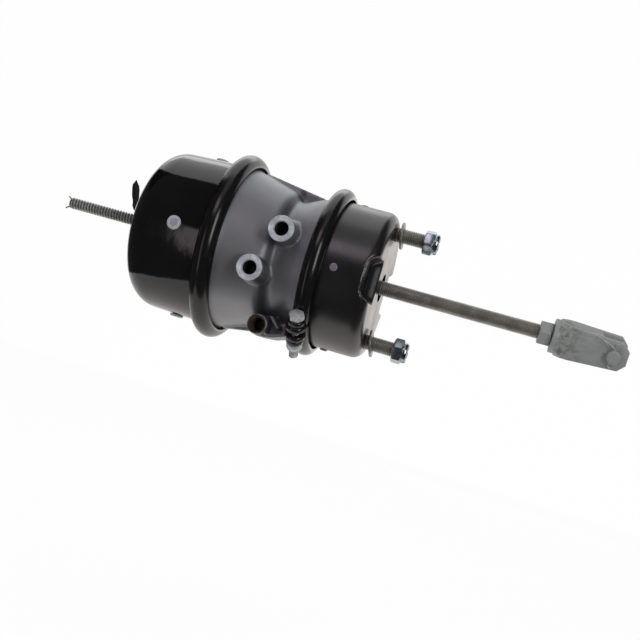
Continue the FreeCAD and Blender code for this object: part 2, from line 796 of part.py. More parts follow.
def clevis():
    """Fork that tapers to its nose, with a turned spigot and corners behind and a clipped nose."""
    nose = clevis_start + clevis_length
    half = clevis_width / 2
    tall = clevis_height / 2
    low = clevis_nose_height / 2
    fork_start = clevis_start + clevis_spigot_length
    body = doc.addObject("PartDesign::Body", "clevis_block")
    sketch = sketch_on(body, "XZ_Plane", "clevis_side")
    draw(
        sketch,
        [
            (fork_start, -tall),
            (nose - clevis_nose_chamfer, -low),
            (nose, -low + clevis_nose_chamfer),
            (nose, low - clevis_nose_chamfer),
            (nose - clevis_nose_chamfer, low),
            (fork_start, tall),
        ],
    )
    pad = body.newObject("PartDesign::Pad", "clevis_pad")
    pad.Profile = sketch
    bind(pad, "Length", clevis_width)
    pad.Midplane = True
    body.Tip = pad
    corner = Size(
        math.hypot(float(half), float(tall)), f"sqrt({half.text}^2 + {tall.text}^2)"
    )
    barrel = turned(
        "clevis_barrel",
        [
            (fork_start - seat_gap, half * 0),
            (fork_start - seat_gap, clevis_turned_radius),
            (fork_start + clevis_turned_length, corner + seat_gap),
            (nose + seat_gap, corner + seat_gap),
            (nose + seat_gap, half * 0),
        ],
    )
    spigot = turned(
        "clevis_spigot",
        [
            (clevis_start, half * 0),
            (clevis_start, clevis_spigot_radius - seat_gap * 3),
            (clevis_start + seat_gap * 3, clevis_spigot_radius),
            (fork_start + seat_gap, clevis_spigot_radius),
            (fork_start + seat_gap, half * 0),
        ],
    )
    blank = fused("clevis_blank", [common("clevis_forging", body, barrel), spigot])
    slot = block(
        "clevis_slot_tool",
        clevis_slot_depth * 2,
        clevis_slot,
        clevis_width * 2,
        nose - clevis_slot_depth,
    )
    thread = cylinder(
        "clevis_thread", rod_radius + slip_gap, clevis_length, x=clevis_start - seat_gap
    )
    pin_hole = cylinder(
        "clevis_pin_hole",
        clevis_pin_radius + running_gap,
        clevis_width * 2,
        towards_port,
        nose - clevis_pin_back,
        clevis_width,
    )
    fork = cut("clevis", blank, fused("clevis_cuts", [slot, thread, pin_hole]))
    node("clevis", turned_with_clevis(fork))

    tail = half + clevis_pin_tail
    head_end = half + seat_gap + clevis_pin_head
    pin_x = nose - clevis_pin_back
    pin = turned(
        "clevis_pin_turning",
        [
            (-tail, half * 0),
            (-tail, clevis_pin_radius - clevis_pin_head / 3),
            (-tail + clevis_pin_head / 3, clevis_pin_radius),
            (half + seat_gap, clevis_pin_radius),
            (half + seat_gap, clevis_pin_head_radius),
            (head_end, clevis_pin_head_radius),
            (head_end, half * 0),
        ],
    )
    pin.Placement = Placement(Vector(0, 0, 0), Rotation(Vector(0, 0, 1), 90))
    split_x = -(half + clevis_pin_tail / 2)
    split_hole = cylinder(
        "clevis_split_hole",
        clevis_split_radius + slip_gap,
        clevis_pin_radius * 4,
        Rotation(),
        0,
        split_x,
        -clevis_pin_radius * 2,
    )
    drilled = cut("clevis_pin", pin, split_hole)
    node("clevis_pin", turned_with_clevis(drilled, pin_x))
    node("clevis_split_pin", turned_with_clevis(split_pin("clevis_split", clevis_split_radius, clevis_pin_radius, split_x), pin_x))


def turned_with_clevis(item, x=None):
    """Turns the fork and its pin about the pushrod, by the angle at which the fork was left."""
    item.Placement = Placement(
        Vector(float(x) if x is not None else 0, 0, 0), Rotation(Vector(1, 0, 0), float(clevis_turn))
    )
    item.setExpression("Placement.Rotation.Angle", clevis_turn.text)
    if x is not None:
        item.setExpression("Placement.Base.x", x.text)
    return item


def split_pin(name, radius, host_radius, y):
    """Cotter through a pin: a round eye below, a straight shank and two legs bent over on top."""
    eye_height = host_radius + radius * 2.6
    eye = doc.addObject("Part::Torus", f"{name}_eye")
    bind(eye, "Radius1", radius * 1.6)
    bind(eye, "Radius2", radius * 0.8)
    place(eye, Rotation(Vector(1, 0, 0), 90), 0, y, -eye_height)
    shank = cylinder(
        f"{name}_shank", radius, host_radius * 2 + radius * 2, Rotation(), 0, y, -host_radius - radius
    )
    leg = cylinder(
        f"{name}_leg",
        radius * 0.8,
        host_radius * 2.2,
        Rotation(Vector(0, 1, 0), -62),
        radius * 0.2,
        y,
        host_radius + radius * 0.9,
    )
    short_leg = cylinder(
        f"{name}_short_leg",
        radius * 0.8,
        host_radius * 0.9,
        Rotation(Vector(0, 1, 0), 35),
        -radius * 0.2,
        y,
        host_radius + radius * 0.9,
    )
    return fused(name, [eye, shank, leg, short_leg])


def flange_casting():
    """Aluminium body between the chambers: two bowls back to back, a bored hub, ribs and ports."""
    slope = (cast_mouth_radius - cast_shoulder_radius) / (cast_mouth_back - cast_shoulder_back)
    rear_bowl_radius = cast_shoulder_radius - cast_wall + slope * (spring_floor_back + cast_wall - cast_shoulder_back)
    mouth_inner = cast_mouth_radius - cast_wall
    foot_pocket = adapter_foot_front - adapter_foot_thickness - seat_gap * 3
    bore = adapter_radius + bolt_gap
    outline = turned(
        "casting_turning",
        [
            (casting_rear_seat, spring_flange_radius),
            (casting_rear_seat + cast_flange_thickness, spring_flange_radius),
            (casting_rear_seat + cast_flange_thickness, cast_mouth_radius + cast_wall / 2),
            (-cast_mouth_back, cast_mouth_radius),
            (-cast_shoulder_back, cast_shoulder_radius),
            (-cast_waist_back, cast_waist_radius),
            (-cast_waist_front, cast_waist_radius),
            (-cast_flare_back, cast_flare_radius),
            (casting_seat - cast_flange_thickness, cast_flare_radius + cast_wall / 2),
            (casting_seat - flange_thickness, service_flange_radius),
            (casting_seat, service_flange_radius),
            (casting_seat, bead_inner_radius - flange_thickness / 2),
            (-cast_flare_back, cast_flare_radius - cast_wall),
            (service_floor, service_floor_radius),
            (service_floor, adapter_foot_radius + seat_gap * 4),
            (foot_pocket, adapter_foot_radius + seat_gap * 4),
            (foot_pocket, bore),
            (hub_rear, bore),
            (hub_rear, hub_radius),
            (spring_floor, hub_radius + seat_gap * 4),
            (spring_floor, spring_floor_radius),
            (spring_floor - cast_wall, rear_bowl_radius),
            (-cast_mouth_back - cast_wall, mouth_inner),
            (casting_rear_seat, mouth_inner + cast_wall / 3),
        ],
        [(4, cast_wall * 0.8), (5, cast_wall * 0.7), (6, cast_wall), (7, cast_wall * 2)],
    )
    ribs = [rib("upper_rib", 0), rib("far_rib", -90), rib("lower_rib", 180)]
    bosses, holes = [], []
    for name, back, height, surface, face, boss_radius, depth in (
        ("service_port", service_port_back, service_port_height, cast_waist_radius, port_face_offset, port_boss_radius, service_port_depth),
        ("spring_port", spring_port_back, spring_port_height, cast_shoulder_radius, port_face_offset, port_boss_radius, spring_port_depth),
    ):
        root = surface - cast_wall
        root_y = Size(
            math.sqrt(float(root) ** 2 - float(height) ** 2), f"sqrt({root.text}^2 - {height.text}^2)"
        )
        bosses.append(cylinder(f"{name}_boss", boss_radius, face - root_y, towards_port, -back, -root_y, height))
        bosses.append(
            cylinder(f"{name}_base", port_base_radius, port_base_height, towards_port, -back, -root_y, height)
        )
        holes += port_hole(name, back, height, face, depth)
    bosses.append(
        cylinder(
            "spare_port_boss",
            spare_boss_radius,
            spare_boss_length,
            towards_port,
            -spare_port_back,
            spare_boss_length - spare_port_face,
            spare_port_height,
        )
    )
    holes += port_hole("spare_port", spare_port_back, spare_port_height, spare_port_face, spare_port_depth)
    service_passage_y = port_face_offset - service_port_depth + passage_radius + seat_gap * 2
    spring_passage_y = port_face_offset - spring_port_depth
    holes.append(
        cylinder(
            "service_passage",
            passage_radius,
            service_port_back - cast_flare_back,
            along_x,
            -service_port_back,
            -service_passage_y,
            service_port_height,
        )
    )
    holes.append(
        cylinder(
            "spring_passage",
            passage_radius,
            cast_wall * 4,
            towards_port,
            -spring_port_back,
            cast_wall * 3 - spring_passage_y,
            spring_port_height,
        )
    )
    bush_bore = cylinder(
        "bush_bore", adapter_radius + running_gap + bush_wall + slip_gap, bush_length, x=-bush_back - bush_length
    )
    holes.append(bush_bore)
    for name, back in (("front_groove", front_seal_back), ("rear_groove", rear_seal_back)):
        holes.append(
            cylinder(
                name,
                adapter_radius + seat_gap + seal_radius * 2 + slip_gap,
                seal_radius * 2 + slip_gap * 2,
                x=-back - seal_radius - slip_gap,
            )
        )
    casting = cut("flange_casting", fused("casting_blank", [outline] + ribs + bosses), fused("casting_holes", holes))
    node("flange_casting", casting)


def rib(name, angle):
    """Triangular web that bridges the waist from the mouth to the flare."""
    body = doc.addObject("PartDesign::Body", name)
    sketch = sketch_on(body, "XZ_Plane", f"{name}_outline")
    draw(
        sketch,
        [
            (-cast_mouth_back + rib_thickness / 2, cast_mouth_radius - cast_wall),
            (-cast_mouth_back + rib_thickness / 2, cast_mouth_radius + rib_rise),
            (-cast_flare_back - rib_thickness / 2, cast_flare_radius + rib_rise),
            (-cast_flare_back - rib_thickness / 2, cast_flare_radius - cast_wall),
            (-cast_waist_front, cast_waist_radius - cast_wall / 2),
            (-cast_waist_back, cast_waist_radius - cast_wall / 2),
            (-cast_shoulder_back, cast_shoulder_radius - cast_wall / 2),
        ],
    )
    pad = body.newObject("PartDesign::Pad", f"{name}_pad")
    pad.Profile = sketch
    bind(pad, "Length", rib_thickness)
    pad.Midplane = True
    body.Tip = pad
    body.Placement = Placement(Vector(0, 0, 0), Rotation(Vector(1, 0, 0), angle))
    return body


def port_hole(name, back, height, face, depth):
    """Threaded hole's bore with its countersink."""
    bore = cylinder(f"{name}_bore", port_thread_radius, depth, towards_port, -back, depth - face, height)
    sink = doc.addObject("Part::Cone", f"{name}_sink")
    bind(sink, "Radius1", port_thread_radius)
    bind(sink, "Radius2", port_thread_radius + port_chamfer * 2)
    bind(sink, "Height", port_chamfer * 2)
    place(sink, towards_port, -back, port_chamfer - face, height)
    return [bore, sink]


def hub_fittings():
    bush_inner = adapter_radius + running_gap
    bush = turned(
        "guide_bush",
        [
            (-bush_back - bush_length + slip_gap, bush_inner),
            (-bush_back - bush_length + slip_gap, bush_inner + bush_wall),
            (-bush_back - slip_gap, bush_inner + bush_wall),
            (-bush_back - slip_gap, bush_inner),
        ],
    )
    node("hub_guide_bush", bush)
    seals = []
    for name, back in (("front_seal", front_seal_back), ("rear_seal", rear_seal_back)):
        ring = place(doc.addObject("Part::Torus", name), along_x, -back)
        bind(ring, "Radius1", adapter_radius + seat_gap + seal_radius)
        bind(ring, "Radius2", seal_radius)
        seals.append(ring)
    node("hub_seals", grouped("hub_seals", seals))


def adapter():
    zero = adapter_radius * 0
    foot_rear = adapter_foot_front - adapter_foot_thickness
    spigot = adapter_foot_front - adapter_foot_thickness / 2
    rod = turned(
        "adapter_turning",
        [
            (adapter_rear, zero),
            (adapter_rear, adapter_plate_radius),
            (adapter_front, adapter_plate_radius),
            (adapter_front, adapter_radius),
            (foot_rear, adapter_radius),
            (foot_rear, adapter_radius / 2),
            (spigot, adapter_radius / 2),
            (spigot, zero),
        ],
        [(2, adapter_plate_thickness / 3)],
    )
    node("adapter_pushrod", rod)
    foot = turned(
        "adapter_foot_turning",
        [
            (foot_rear, adapter_radius / 2 + slip_gap),
            (foot_rear, adapter_foot_radius),
            (adapter_foot_front, adapter_foot_radius),
            (adapter_foot_front, zero),
            (spigot + slip_gap, zero),
            (spigot + slip_gap, adapter_radius / 2 + slip_gap),
        ],
        [(2, adapter_foot_thickness / 4)],
    )
    node("adapter_foot", foot)


def diaphragms():
    """Fabric-reinforced rubber discs, each gripped at its bead and dished back to its rest shape."""
    zero = diaphragm_thickness * 0
    bead_outer = service_flange_radius - seat_gap
    service = turned(
        "service_diaphragm",
        [
            (service_seat, bead_outer),
            (service_seat, bead_inner_radius - diaphragm_thickness * 1.8),
            (service_membrane_front, plate_land_radius),
            (service_membrane_front, zero),
            (service_membrane_rear, zero),
            (service_membrane_rear, plate_land_radius + diaphragm_thickness * 0.5),
            (casting_seat, bead_inner_radius - diaphragm_thickness * 1.5),
            (casting_seat, bead_outer),
        ],
    )
    node("service_diaphragm", service)
    spring_bead_outer = spring_flange_radius - seat_gap
    membrane_front = adapter_rear - seat_gap
    membrane_rear = membrane_front - diaphragm_thickness
    rear = turned(
        "spring_diaphragm",
        [
            (casting_rear_seat, spring_bead_outer),
            (casting_rear_seat, spring_bead_inner_radius - diaphragm_thickness * 1.3),
            (membrane_front, pressure_land_radius),
            (membrane_front, zero),
            (membrane_rear, zero),
            (membrane_rear, pressure_land_radius + diaphragm_thickness * 0.5),
            (spring_seat, spring_bead_inner_radius - diaphragm_thickness * 1.1),
            (spring_seat, spring_bead_outer),
        ],
    )
    node("spring_diaphragm", rear)


def spring_housing():
    """Deep pressed bowl that holds the power spring, with its flange and vent holes."""
    flange_rear = spring_seat - flange_thickness
    zero = spring_housing_wall * 0
    inner_mouth = spring_housing_radius - spring_housing_wall
    shell = turned(
        "spring_shell",
        [
            (housing_rear, release_hole_radius),
            (housing_rear, spring_housing_rear_radius),
            (flange_rear, spring_housing_radius),
            (flange_rear, spring_flange_radius),
            (spring_seat, spring_flange_radius),
            (spring_seat, inner_mouth),
            (housing_rear_inside, spring_housing_rear_radius - spring_housing_wall),
            (housing_rear_inside, release_hole_radius - zero),
        ],
        [(6, spring_housing_corner - spring_housing_wall), (1, spring_housing_corner), (2, flange_thickness)],
    )
    holes = []
    for number in range(4):
        holes.append(
            radial_hole(f"large_vent_{number}", large_plug_stem, large_plug_back, spring_housing_radius, number)
        )
    node("spring_housing", cut("spring_housing", shell, fused("spring_vents", holes)))
    ring = place(doc.addObject("Part::Torus", "ring_outside"), along_x, spring_joint)
    bind(ring, "Radius1", ring_section_centre)
    bind(ring, "Radius2", ring_section_radius)
    groove = place(doc.addObject("Part::Torus", "ring_groove"), along_x, spring_joint)
    bind(groove, "Radius1", ring_section_centre)
    bind(groove, "Radius2", ring_section_radius - ring_wall)
    bore = cylinder(
        "ring_bore", ring_section_centre, ring_section_radius * 4, x=spring_joint - ring_section_radius * 2
    )
    node("spring_joint_ring", cut("spring_joint_ring", ring, fused("ring_cuts", [groove, bore])))


def plug_surface():
    """Largest radius of the tapered spring housing under the heads of its vent plugs."""
    slope = (spring_housing_radius - spring_housing_rear_radius) / (spring_housing_back - spring_joint_back)
    return spring_housing_radius - slope * (large_plug_back - spring_joint_back - large_plug_radius)


def pressure_plate():
    """Cast plate that the power spring pushes on, with a hub that traps the release bolt's head."""
    zero = pressure_rim_wall * 0
    pocket_front = pressure_front - pressure_plate_thickness / 2
    hub_end = pressure_front - pressure_hub_length
    pocket_rear = hub_end + pressure_plate_thickness / 2
    plate = turned(
        "pressure_plate_turning",
        [
            (pressure_front, zero),
            (pressure_front, pressure_plate_radius),
            (pressure_seat - pressure_rim_length, pressure_plate_radius),
            (pressure_seat - pressure_rim_length, pressure_plate_radius - pressure_rim_wall),
            (pressure_seat, pressure_plate_radius - pressure_rim_wall),
            (pressure_seat, pressure_hub_radius),
            (hub_end, pressure_hub_radius),
            (hub_end, release_radius + bolt_gap),
            (pocket_rear, release_radius + bolt_gap),
            (pocket_rear, release_pocket_radius),
            (pocket_front, release_pocket_radius),
            (pocket_front, zero),
        ],
        [(1, pressure_rim_wall * 0.8)],
    )
    slot = block(
        "release_slot",
        pressure_plate_thickness,
        release_head_length + bolt_gap * 2,
        release_head_width + bolt_gap * 2,
        hub_end - pressure_plate_thickness / 4,
    )
    node("pressure_plate", cut("pressure_plate", plate, slot))

    head = block(
        "release_head",
        release_head_height,
        release_head_width,
        release_head_length,
        pocket_rear,
    )
    shank = cylinder(
        "release_shank", release_radius, release_end_back + pocket_rear + release_head_height / 2, x=-release_end_back
    )
    split_hole = cylinder(
        "release_split_hole",
        release_split_radius + slip_gap,
        release_radius * 4,
        Rotation(),
        -release_split_back,
        0,
        -release_radius * 2,
    )
    node("release_bolt", cut("release_bolt", fused("release_blank", [head, shank]), split_hole))
    pin = split_pin("release_split", release_split_radius, release_radius, release_radius * 0)
    node("release_split_pin", place(pin, Rotation(), -release_split_back))


def release_fittings():
    washer_rear = housing_rear - release_washer_thickness
    washer = turned(
        "release_washer_turning",
        [
            (washer_rear, release_hole_radius - bolt_gap),
            (washer_rear, release_washer_radius),
            (housing_rear, release_washer_radius),
            (housing_rear, release_hole_radius - bolt_gap),
        ],
    )
    node("release_washer", washer)
    nut_front = washer_rear - running_gap
    blank = hexagon("release_nut_hex", release_nut_flats, nut_front - release_nut_height, release_nut_height)
    bore = cylinder(
        "release_nut_bore",
        release_radius + running_gap,
        release_nut_height * 2,
        x=nut_front - release_nut_height * 1.5,
    )
    node("release_nut", cut("release_nut", blank, bore))

    strap_front = nut_front - release_nut_height - seat_gap
    ring = cylinder("strap_ring", strap_ring_radius, strap_thickness, x=strap_front - strap_thickness)
    body = doc.addObject("PartDesign::Body", "strap_tongue")
    sketch = sketch_on(body, "XZ_Plane", "strap_tongue_outline")
    low = release_radius + strap_thickness
    rear = strap_front - strap_thickness
    draw(
        sketch,
        [
            (strap_front, low),
            (rear, low),
            (rear - strap_lean * 0.4, strap_height * 0.55),
            (rear - strap_lean, strap_height - strap_thickness),
            (rear - strap_lean, strap_height),
            (rear - strap_lean * 0.4 + strap_thickness * 0.9, strap_height * 0.6),
            (strap_front, strap_ring_radius + strap_thickness),
        ],
    )
    pad = body.newObject("PartDesign::Pad", "strap_tongue_pad")
    pad.Profile = sketch
    bind(pad, "Length", strap_width)
    pad.Midplane = True
    body.Tip = pad
    hole = cylinder(
        "strap_hole", release_radius + seat_gap, strap_thickness * 4, x=strap_front - strap_thickness * 2.5
    )
    node("dust_cap_strap", cut("dust_cap_strap", fused("strap_blank", [ring, body]), hole))


def coil_springs():
    wall = housing_rear_inside + power_wire_radius + slip_gap
    seat = pressure_seat - power_wire_radius - slip_gap
    power = spring("power_spring", power_wire_radius, wall, power_rear_radius, seat, power_front_radius, power_turns)
    node("power_spring", power)
    plate = push_plate_rear + push_plate_thickness + return_wire_radius + slip_gap
    end = -end_wall - return_wire_radius - slip_gap
    back = spring("pushrod_return_spring", return_wire_radius, plate, return_plate_radius, end, return_wall_radius, return_turns)
    node("pushrod_return_spring", back)
    low = adapter_front + adapter_wire_radius + slip_gap
    high = spring_floor - adapter_wire_radius - slip_gap
    small = spring(
        "adapter_return_spring",
        adapter_wire_radius,
        low,
        adapter_spring_plate_radius,
        high,
        adapter_spring_floor_radius,
        adapter_turns,
    )
    node("adapter_return_spring", small)


service_housing()
vent_plugs(
    "service_vent_plugs", small_plug_radius, small_plug_head, small_plug_stem, small_plug_back, housing_radius, housing_wall
)
clamp_hardware()
stud_hardware()
push_plate_and_rod()
clevis()
flange_casting()
hub_fittings()
adapter()
diaphragms()
spring_housing()
vent_plugs(
    "spring_vent_plugs",
    large_plug_radius,
    large_plug_head,
    large_plug_stem,
    large_plug_back,
    plug_surface(),
    spring_housing_wall,
)
pressure_plate()
release_fittings()
coil_springs()
doc.recompute()

problems = []
for item in doc.Objects:
    if "Invalid" in item.State or "Error" in item.State:
        problems.append(f"{item.Label}: {item.State}")
for name, item in nodes.items():
    shape = item.Shape
    if shape.isNull() or not shape.isValid() or not shape.Solids:
        problems.append(f"{name}: no valid solid")
if problems:
    raise SystemExit("\n".join(problems))

os.makedirs("parts", exist_ok=True)
for name, item in nodes.items():
    item.Shape.exportStep(f"parts/{name}.step")
    print(name, len(item.Shape.Solids), "solids", round(item.Shape.Volume / 1000, 2), "cm3")
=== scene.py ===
"""Tandem brake chamber: fine shapes, finishes, soft studio light and the photograph's camera."""
import math

import bmesh
import bpy
from mathutils import Matrix, Vector


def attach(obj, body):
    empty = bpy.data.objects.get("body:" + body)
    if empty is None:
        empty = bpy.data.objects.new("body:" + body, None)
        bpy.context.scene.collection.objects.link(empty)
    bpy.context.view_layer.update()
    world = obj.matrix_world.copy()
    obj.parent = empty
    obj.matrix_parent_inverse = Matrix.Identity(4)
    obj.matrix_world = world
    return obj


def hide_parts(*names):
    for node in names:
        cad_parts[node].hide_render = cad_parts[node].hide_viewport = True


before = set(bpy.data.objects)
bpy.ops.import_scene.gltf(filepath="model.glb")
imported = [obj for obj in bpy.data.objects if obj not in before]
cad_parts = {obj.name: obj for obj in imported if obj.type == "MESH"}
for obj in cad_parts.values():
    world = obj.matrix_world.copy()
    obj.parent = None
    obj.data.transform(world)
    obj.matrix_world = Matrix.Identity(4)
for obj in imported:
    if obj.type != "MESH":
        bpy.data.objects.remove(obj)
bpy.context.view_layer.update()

MM = 0.001
scene = bpy.context.scene

# Measures in millimetres that several pieces share
CLAMP_X = -63
STUD_HEIGHT = 60.325
HEX_FLATS = 24
CLEVIS_PIN_X = 247.5
SPARE_PORT = (-105.5, -75.5)


# Shaping tools: every measure given to them is in millimetres


def outline(corners):
    """Flat closed outline from (x, radius, rounding) corners, each corner rounded off."""
    shape = bmesh.new()
    points = [shape.verts.new((x * MM, 0, r * MM)) for x, r, _ in corners]
    shape.faces.new(points)
    for point, (_, _, rounding) in zip(points, corners):
        if rounding:
            bmesh.ops.bevel(
                shape,
                geom=[point],
                offset=rounding * MM,
                offset_type="OFFSET",
                segments=8,
                profile=0.5,
                affect="VERTICES",
                material=-1,
            )
    return shape


def turned(corners, steps=96, place=None):
    """Round piece turned about the X axis from its outline."""
    shape = outline(corners)
    bmesh.ops.delete(shape, geom=shape.faces[:], context="FACES_ONLY")
    on_axis = [e for e in shape.edges if all(abs(v.co.z) < 1e-7 for v in e.verts)]
    bmesh.ops.delete(shape, geom=on_axis, context="EDGES")
    bmesh.ops.spin(
        shape,
        geom=shape.verts[:] + shape.edges[:],
        cent=(0, 0, 0),
        axis=(1, 0, 0),
        dvec=(0, 0, 0),
        angle=math.tau,
        steps=steps,
        use_merge=True,
    )
    bmesh.ops.remove_doubles(shape, verts=shape.verts[:], dist=1e-6)
    bmesh.ops.recalc_face_normals(shape, faces=shape.faces[:])
    return moved(shape, place)


def moved(shape, place):
    """Shape put in its place, where it has one of its own."""
    if place is not None:
        bmesh.ops.transform(shape, matrix=place, verts=shape.verts[:])
    return shape


def block(low, high, place=None):
    """Box between two corners."""
    low = Vector(low) * MM
    high = Vector(high) * MM
    shape = bmesh.new()
    stretch = Matrix.Diagonal(high - low).to_4x4()
    bmesh.ops.create_cube(shape, size=1, matrix=Matrix.Translation((low + high) / 2) @ stretch)
    return moved(shape, place)


def joined(*shapes):
    """Several closed shapes as one mesh."""
    whole = shapes[0]
    for shape in shapes[1:]:
        mesh = bpy.data.meshes.new("joined")
        shape.to_mesh(mesh)
        shape.free()
        whole.from_mesh(mesh)
        bpy.data.meshes.remove(mesh)
    return whole


def blank(shape):
    """Plain object for a shape that a modifier still works on."""
    mesh = bpy.data.meshes.new("blank")
    shape.to_mesh(mesh)
    shape.free()
    obj = bpy.data.objects.new("blank", mesh)
    scene.collection.objects.link(obj)
    return obj


def taken(*objects):
    """Shape of the first object with its modifiers or bevel applied; all the objects are removed."""
    bpy.context.view_layer.update()
    depsgraph = bpy.context.evaluated_depsgraph_get()
    mesh = bpy.data.meshes.new_from_object(objects[0].evaluated_get(depsgraph))
    shape = bmesh.new()
    shape.from_mesh(mesh)
    bpy.data.meshes.remove(mesh)
    for obj in objects:
        store = bpy.data.curves if obj.type == "CURVE" else bpy.data.meshes
        data = obj.data
        bpy.data.objects.remove(obj)
        store.remove(data)
    return shape


def worked(first, second, operation):
    """First shape cut by, joined with or limited to the second."""
    base = blank(first)
    tool = blank(second)
    change = base.modifiers.new("work", "BOOLEAN")
    change.operation = operation
    change.solver = "EXACT"
    change.object = tool
    return taken(base, tool)


def melted(shape, voxel, rounds):
    """One skin over overlapping shapes, its edges run soft as in a casting or a deep pressing."""
    base = blank(shape)
    skin = base.modifiers.new("skin", "REMESH")
    skin.mode = "VOXEL"
    skin.voxel_size = voxel * MM
    melt = base.modifiers.new("melt", "SMOOTH")
    melt.factor = 0.5
    melt.iterations = rounds
    return taken(base)


def softened(shape, width, angle=35, segments=2, where=None):
    """Rounds off the edges that are sharper than the angle."""
    bmesh.ops.remove_doubles(shape, verts=shape.verts[:], dist=1e-6)
    edges = []
    for edge in shape.edges:
        if len(edge.link_faces) == 2 and edge.calc_face_angle(0) > math.radians(angle):
            middle = (edge.verts[0].co + edge.verts[1].co) / 2
            if where is None or where(middle):
                edges.append(edge)
    bmesh.ops.bevel(
        shape,
        geom=edges,
        offset=width * MM,
        offset_type="OFFSET",
        segments=segments,
        profile=0.5,
        affect="EDGES",
        clamp_overlap=True,
        material=-1,
    )
    return shape


def threaded(start, end, crest, root, pitch, steps=28):
    """Rod along X with a real helical thread, cut flat and closed at both ends."""
    shape = bmesh.new()
    steepness = ((0, root), (0.1, root), (0.42, crest), (0.58, crest), (0.9, root), (1, root))
    first = start - pitch * 2
    points = [shape.verts.new(((first + share * pitch) * MM, 0, r * MM)) for share, r in steepness]
    for low, high in zip(points, points[1:]):
        shape.edges.new((low, high))
    turns = math.ceil((end - start) / pitch) + 3
    bmesh.ops.spin(
        shape,
        geom=shape.verts[:] + shape.edges[:],
        cent=(0, 0, 0),
        axis=(1, 0, 0),
        dvec=(pitch * MM / steps, 0, 0),
        angle=math.tau * turns,
        steps=steps * turns,
    )
    bmesh.ops.remove_doubles(shape, verts=shape.verts[:], dist=1e-6)
    for x, outward in ((start, -1), (end, 1)):
        bmesh.ops.bisect_plane(
            shape,
            geom=shape.verts[:] + shape.edges[:] + shape.faces[:],
            dist=1e-7,
            plane_co=(x * MM, 0, 0),
            plane_no=(outward, 0, 0),
            clear_outer=True,
        )
        edges = [e for e in shape.edges if e.is_boundary and abs(e.verts[0].co.x - x * MM) < 1e-6]
        bmesh.ops.holes_fill(shape, edges=edges, sides=0)
    bmesh.ops.recalc_face_normals(shape, faces=shape.faces[:])
    return shape


def hexagon(flats, start, height, bore, turn=0, place=None):
    """Nut or bolt head with its corners turned down to a cone at both ends."""
    corner = flats / math.sqrt(3)
    rim = flats * 0.475
    drop = (corner - rim) * 0.58
    sink = 0.8 if bore else 0
    barrel = turned(
        [
            (start, bore + sink, 0),
            (start + sink, bore, 0),
            (start + height - sink, bore, 0),
            (start + height, bore + sink, 0),
            (start + height, rim, 0),
            (start + height - drop, corner, 0),
            (start + height - drop, corner + 2, 0),
            (start + drop, corner + 2, 0),
            (start + drop, corner, 0),
            (start, rim, 0),
        ]
        if bore
        else [
            (start, 0, 0),
            (start + height, 0, 0),
            (start + height, rim, 0),
            (start + height - drop, corner, 0),
            (start + height - drop, corner + 2, 0),
            (start + drop, corner + 2, 0),
            (start + drop, corner, 0),
            (start, rim, 0),
        ],
        72,
    )
    prism = bmesh.new()
    bmesh.ops.create_cone(
        prism,
        cap_ends=True,
        segments=6,
        radius1=corner * MM,
        radius2=corner * MM,
        depth=height * 2 * MM,
        matrix=Matrix.Translation(((start + height / 2) * MM, 0, 0))
        @ Matrix.Rotation(math.radians(turn), 4, "X")
        @ Matrix.Rotation(math.radians(90), 4, "Y"),
    )
    return moved(softened(worked(barrel, prism, "INTERSECT"), 0.35, 40), place)


def wire(name, routes, radius):
    """Round wires along (x, y, z) points, as one mesh."""
    data = bpy.data.curves.new(name, "CURVE")
    data.dimensions = "3D"
    data.bevel_depth = radius * MM
    data.bevel_resolution = 4
    data.use_fill_caps = True
    for route in routes:
        line = data.splines.new("NURBS")
        line.points.add(len(route) - 1)
        for point, place in zip(line.points, route):
            point.co = (*(Vector(place) * MM), 1)
        line.order_u = 3
        line.use_endpoint_u = True
        line.resolution_u = 6
    obj = bpy.data.objects.new(name, data)
    scene.collection.objects.link(obj)
    return taken(obj)


def plate(corners, step):
    """Flat face between the corners, grown into a plate by one step."""
    shape = bmesh.new()
    face = shape.faces.new([shape.verts.new([value * MM for value in corner]) for corner in corners])
    grown = bmesh.ops.extrude_face_region(shape, geom=[face])
    far = [item for item in grown["geom"] if isinstance(item, bmesh.types.BMVert)]
    bmesh.ops.translate(shape, vec=[value * MM for value in step], verts=far)
    bmesh.ops.recalc_face_normals(shape, faces=shape.faces[:])
    return shape


def finished(name, shape, material, body, nodes=(), sharp=38):
    """Makes the shape a named piece of the object, smooth except at its edges."""
    mesh = bpy.data.meshes.new(name)
    shape.to_mesh(mesh)
    shape.free()
    mesh.shade_smooth()
    mesh.set_sharp_from_angle(angle=math.radians(sharp))
    mesh.materials.append(material)
    obj = bpy.data.objects.new(name, mesh)
    scene.collection.objects.link(obj)
    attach(obj, body)
    if nodes:
        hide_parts(*nodes)
    return obj


# Materials


def colour(code):
    """Linear colour from an sRGB hex value."""
    parts = [int(code[place : place + 2], 16) / 255 for place in (1, 3, 5)]
    return tuple(p / 12.92 if p <= 0.04045 else ((p + 0.055) / 1.055) ** 2.4 for p in parts) + (1,)


def add(tree, kind, settings=None, links=None):
    """Adds a node with its settings and the outputs that its inputs read."""
    node = tree.nodes.new(kind)
    for name, value in (settings or {}).items():
        if isinstance(name, int) or name in node.inputs:
            node.inputs[name].default_value = value
        else:
            setattr(node, name, value)
    for name, source in (links or {}).items():
        tree.links.new(source, node.inputs[name])
    return node


def new_material(name):
    """Material with an empty node tree."""
    material = bpy.data.materials.new(name)
    material.use_nodes = True
    tree = material.node_tree
    tree.nodes.clear()
    return material, tree


def finish_shader(tree, settings, links):
    """Ends a material's tree in one principled shader."""
    shader = add(tree, "ShaderNodeBsdfPrincipled", settings, links)
    add(tree, "ShaderNodeOutputMaterial", None, {"Surface": shader.outputs["BSDF"]})


